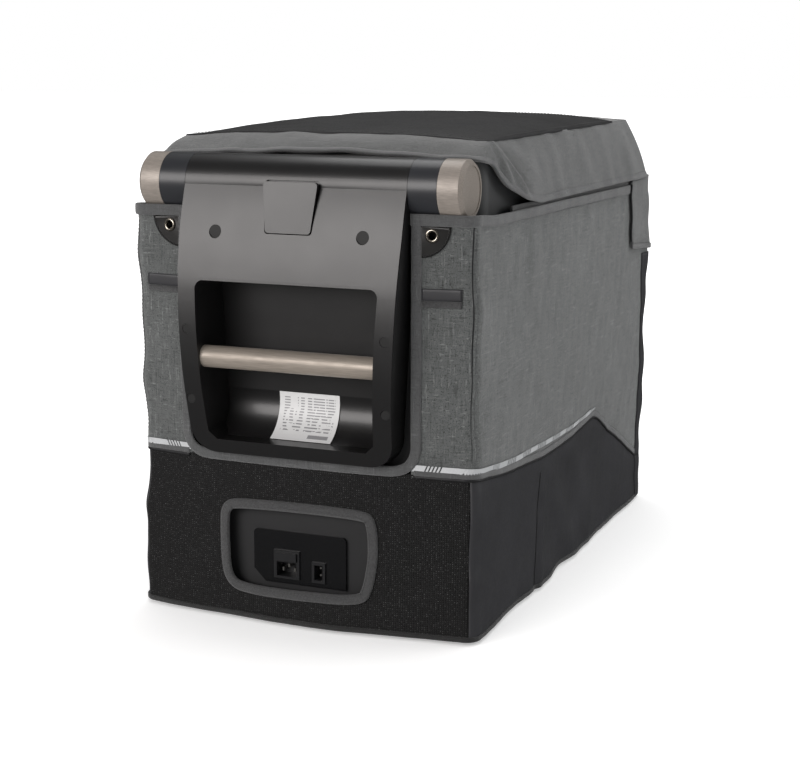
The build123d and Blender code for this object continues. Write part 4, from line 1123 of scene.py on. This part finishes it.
# ---------------------------------------------------------------- finishes on the carried parts
FINISHES = {
    "hinge_end_panel": PANEL, "control_end_panel": PANEL, "release_tab": PANEL, "hinge_knuckles": KNUCKLE,
    "barrel_cap_left": CAP, "barrel_cap_right": CAP, "hinge_handle_bar": BAR, "control_handle_bar": BAR,
    "hinge_end_frame": FRAME_PLASTIC, "control_end_frame": FRAME_PLASTIC,
    "hinge_bearing_blocks": FRAME_PLASTIC,
    "lid_shell": LID_PLASTIC, "lid_liner": LINER, "tub_liner": LINER, "top_rim": LID_PLASTIC,
    "lid_gasket": RUBBER, "rubber_feet": RUBBER, "compressor_mounts": RUBBER, "lid_foam": FOAM,
    "insulation_foam": FOAM, "cabinet_sides": CABINET, "base_tray": CABINET, "panel_screw_plugs": PLUG,
    "rating_label": LABEL, "hinge_pin": STEEL, "release_tab_pin": STEEL, "latch_pin": STEEL,
    "latch_bracket": LID_PLASTIC, "latch_lever": KNUCKLE, "inlet_plate": SOCKET, "control_plate": SOCKET,
    "ac_inlet": SOCKET_FACE, "dc_inlet": SOCKET_FACE, "inlet_pins": NICKEL, "fuse_drawer": SOCKET_FACE,
    "fuse": GLASS, "display_window": GLASS, "button_power": KEYPAD, "button_menu": KEYPAD,
    "button_down": KEYPAD, "button_up": KEYPAD, "compressor": ENAMEL, "condenser": ALUMINIUM,
    "evaporator": ALUMINIUM, "filter_drier": COPPER, "refrigerant_pipes": COPPER, "fan_frame": FRAME_PLASTIC,
    "fan_rotor": FRAME_PLASTIC, "controller_box": FRAME_PLASTIC,
}
for name, finish in FINISHES.items():
    part = frame["nodes"][name]
    part.data.materials.clear()
    part.data.materials.append(finish)


# ---------------------------------------------------------------- floor, light and camera
def area_light(name, place, target, size, power):
    """A soft rectangular lamp aimed at a target."""
    light = bpy.data.lights.new(name, "AREA")
    light.energy = power
    light.shape = "RECTANGLE"
    light.size, light.size_y = size
    lamp = bpy.data.objects.new(name, light)
    lamp.location = place
    lamp.rotation_euler = (Vector(target) - Vector(place)).to_track_quat("-Z", "Y").to_euler()
    bpy.context.scene.collection.objects.link(lamp)
    return lamp


def build_stage():
    """Pale floor that fades to white, and soft studio light."""
    mesh = bpy.data.meshes.new("floor")
    mesh.from_pydata([(-40, -40, 0), (40, -40, 0), (40, 40, 0), (-40, 40, 0)], [], [(0, 1, 2, 3)])
    floor = bpy.data.objects.new("floor", mesh)
    bpy.context.scene.collection.objects.link(floor)
    material, tree, shader = new_material("floor", (0.86, 0.86, 0.86), 0.9)
    tone = ramp(tree, noise_value(tree, 6, 3.0), [(0.3, 0.85), (0.7, 0.87)])
    tree.links.new(tone, shader.inputs["Base Color"])
    shader.inputs["Emission Color"].default_value = (1, 1, 1, 1)
    places = tree.nodes.new("ShaderNodeTexCoord")
    away = tree.nodes.new("ShaderNodeVectorMath")
    away.operation = "LENGTH"
    tree.links.new(places.outputs["Object"], away.inputs[0])
    fade = ramp(tree, math_node(tree, "DIVIDE", away.outputs["Value"], 4.0), [(0.15, 0.32), (0.45, 1.0)])
    rays = tree.nodes.new("ShaderNodeLightPath")
    glow = mix(tree, rays.outputs["Is Camera Ray"], (0.32, 0.32, 0.32), fade)
    tree.links.new(glow, shader.inputs["Emission Strength"])
    floor.data.materials.append(material)
    floor.visible_glossy = False

    front_box = area_light("front_box", (-1.75, -4.3, 1.75), (0, -0.2, 0.45), (3.4, 2.1), 150)
    front_box.data.color = (1, 0.965, 0.95)
    area_light("side_box", (2.9, 1.5, 1.5), (0, 0.15, 0.25), (2.2, 1.8), 36)
    area_light("top_box", (-0.1, 0.9, 3.0), (0, 0.05, 0.3), (2.4, 2.2), 42)

    world = bpy.data.worlds.new("world")
    bpy.context.scene.world = world
    world.use_nodes = True
    tree = world.node_tree
    shown = tree.nodes["Background"]
    shown.inputs["Color"].default_value = (1, 1, 1, 1)
    shown.inputs["Strength"].default_value = 0.62
    seen = tree.nodes.new("ShaderNodeBackground")
    seen.inputs["Color"].default_value = (1, 1, 1, 1)
    seen.inputs["Strength"].default_value = 1.0
    mirrored_world = tree.nodes.new("ShaderNodeBackground")
    mirrored_world.inputs["Strength"].default_value = 0.10
    rays = tree.nodes.new("ShaderNodeLightPath")
    soft = tree.nodes.new("ShaderNodeMixShader")
    tree.links.new(rays.outputs["Is Glossy Ray"], soft.inputs[0])
    tree.links.new(shown.outputs[0], soft.inputs[1])
    tree.links.new(mirrored_world.outputs[0], soft.inputs[2])
    chooser = tree.nodes.new("ShaderNodeMixShader")
    tree.links.new(rays.outputs["Is Camera Ray"], chooser.inputs[0])
    tree.links.new(soft.outputs[0], chooser.inputs[1])
    tree.links.new(seen.outputs[0], chooser.inputs[2])
    tree.links.new(chooser.outputs[0], tree.nodes["World Output"].inputs["Surface"])


def build_camera():
    """The camera, where lines of sight to the box's corners put it."""
    yaw, pitch, roll = math.radians(21.99), math.radians(10.26), math.radians(0.28)
    forward = Vector((-math.sin(yaw) * math.cos(pitch), math.cos(yaw) * math.cos(pitch), -math.sin(pitch)))
    right = Vector((math.cos(yaw), math.sin(yaw), 0))
    up = right.cross(forward)
    data = bpy.data.cameras.new("camera")
    data.sensor_width = 36.0
    data.lens = 73.35
    data.shift_x = -0.0276
    data.shift_y = -0.0125
    data.clip_end = 200
    camera = bpy.data.objects.new("camera", data)
    across = right * math.cos(roll) + up * math.sin(roll)
    turn = Matrix((across, up * math.cos(roll) - right * math.sin(roll), -forward))
    camera.matrix_world = Matrix.Translation((0.7638, -1.8929, 0.5965)) @ turn.transposed().to_4x4()
    bpy.context.scene.collection.objects.link(camera)
    bpy.context.scene.camera = camera
    bpy.context.scene.view_settings.view_transform = "Standard"


build_stage()
build_camera()
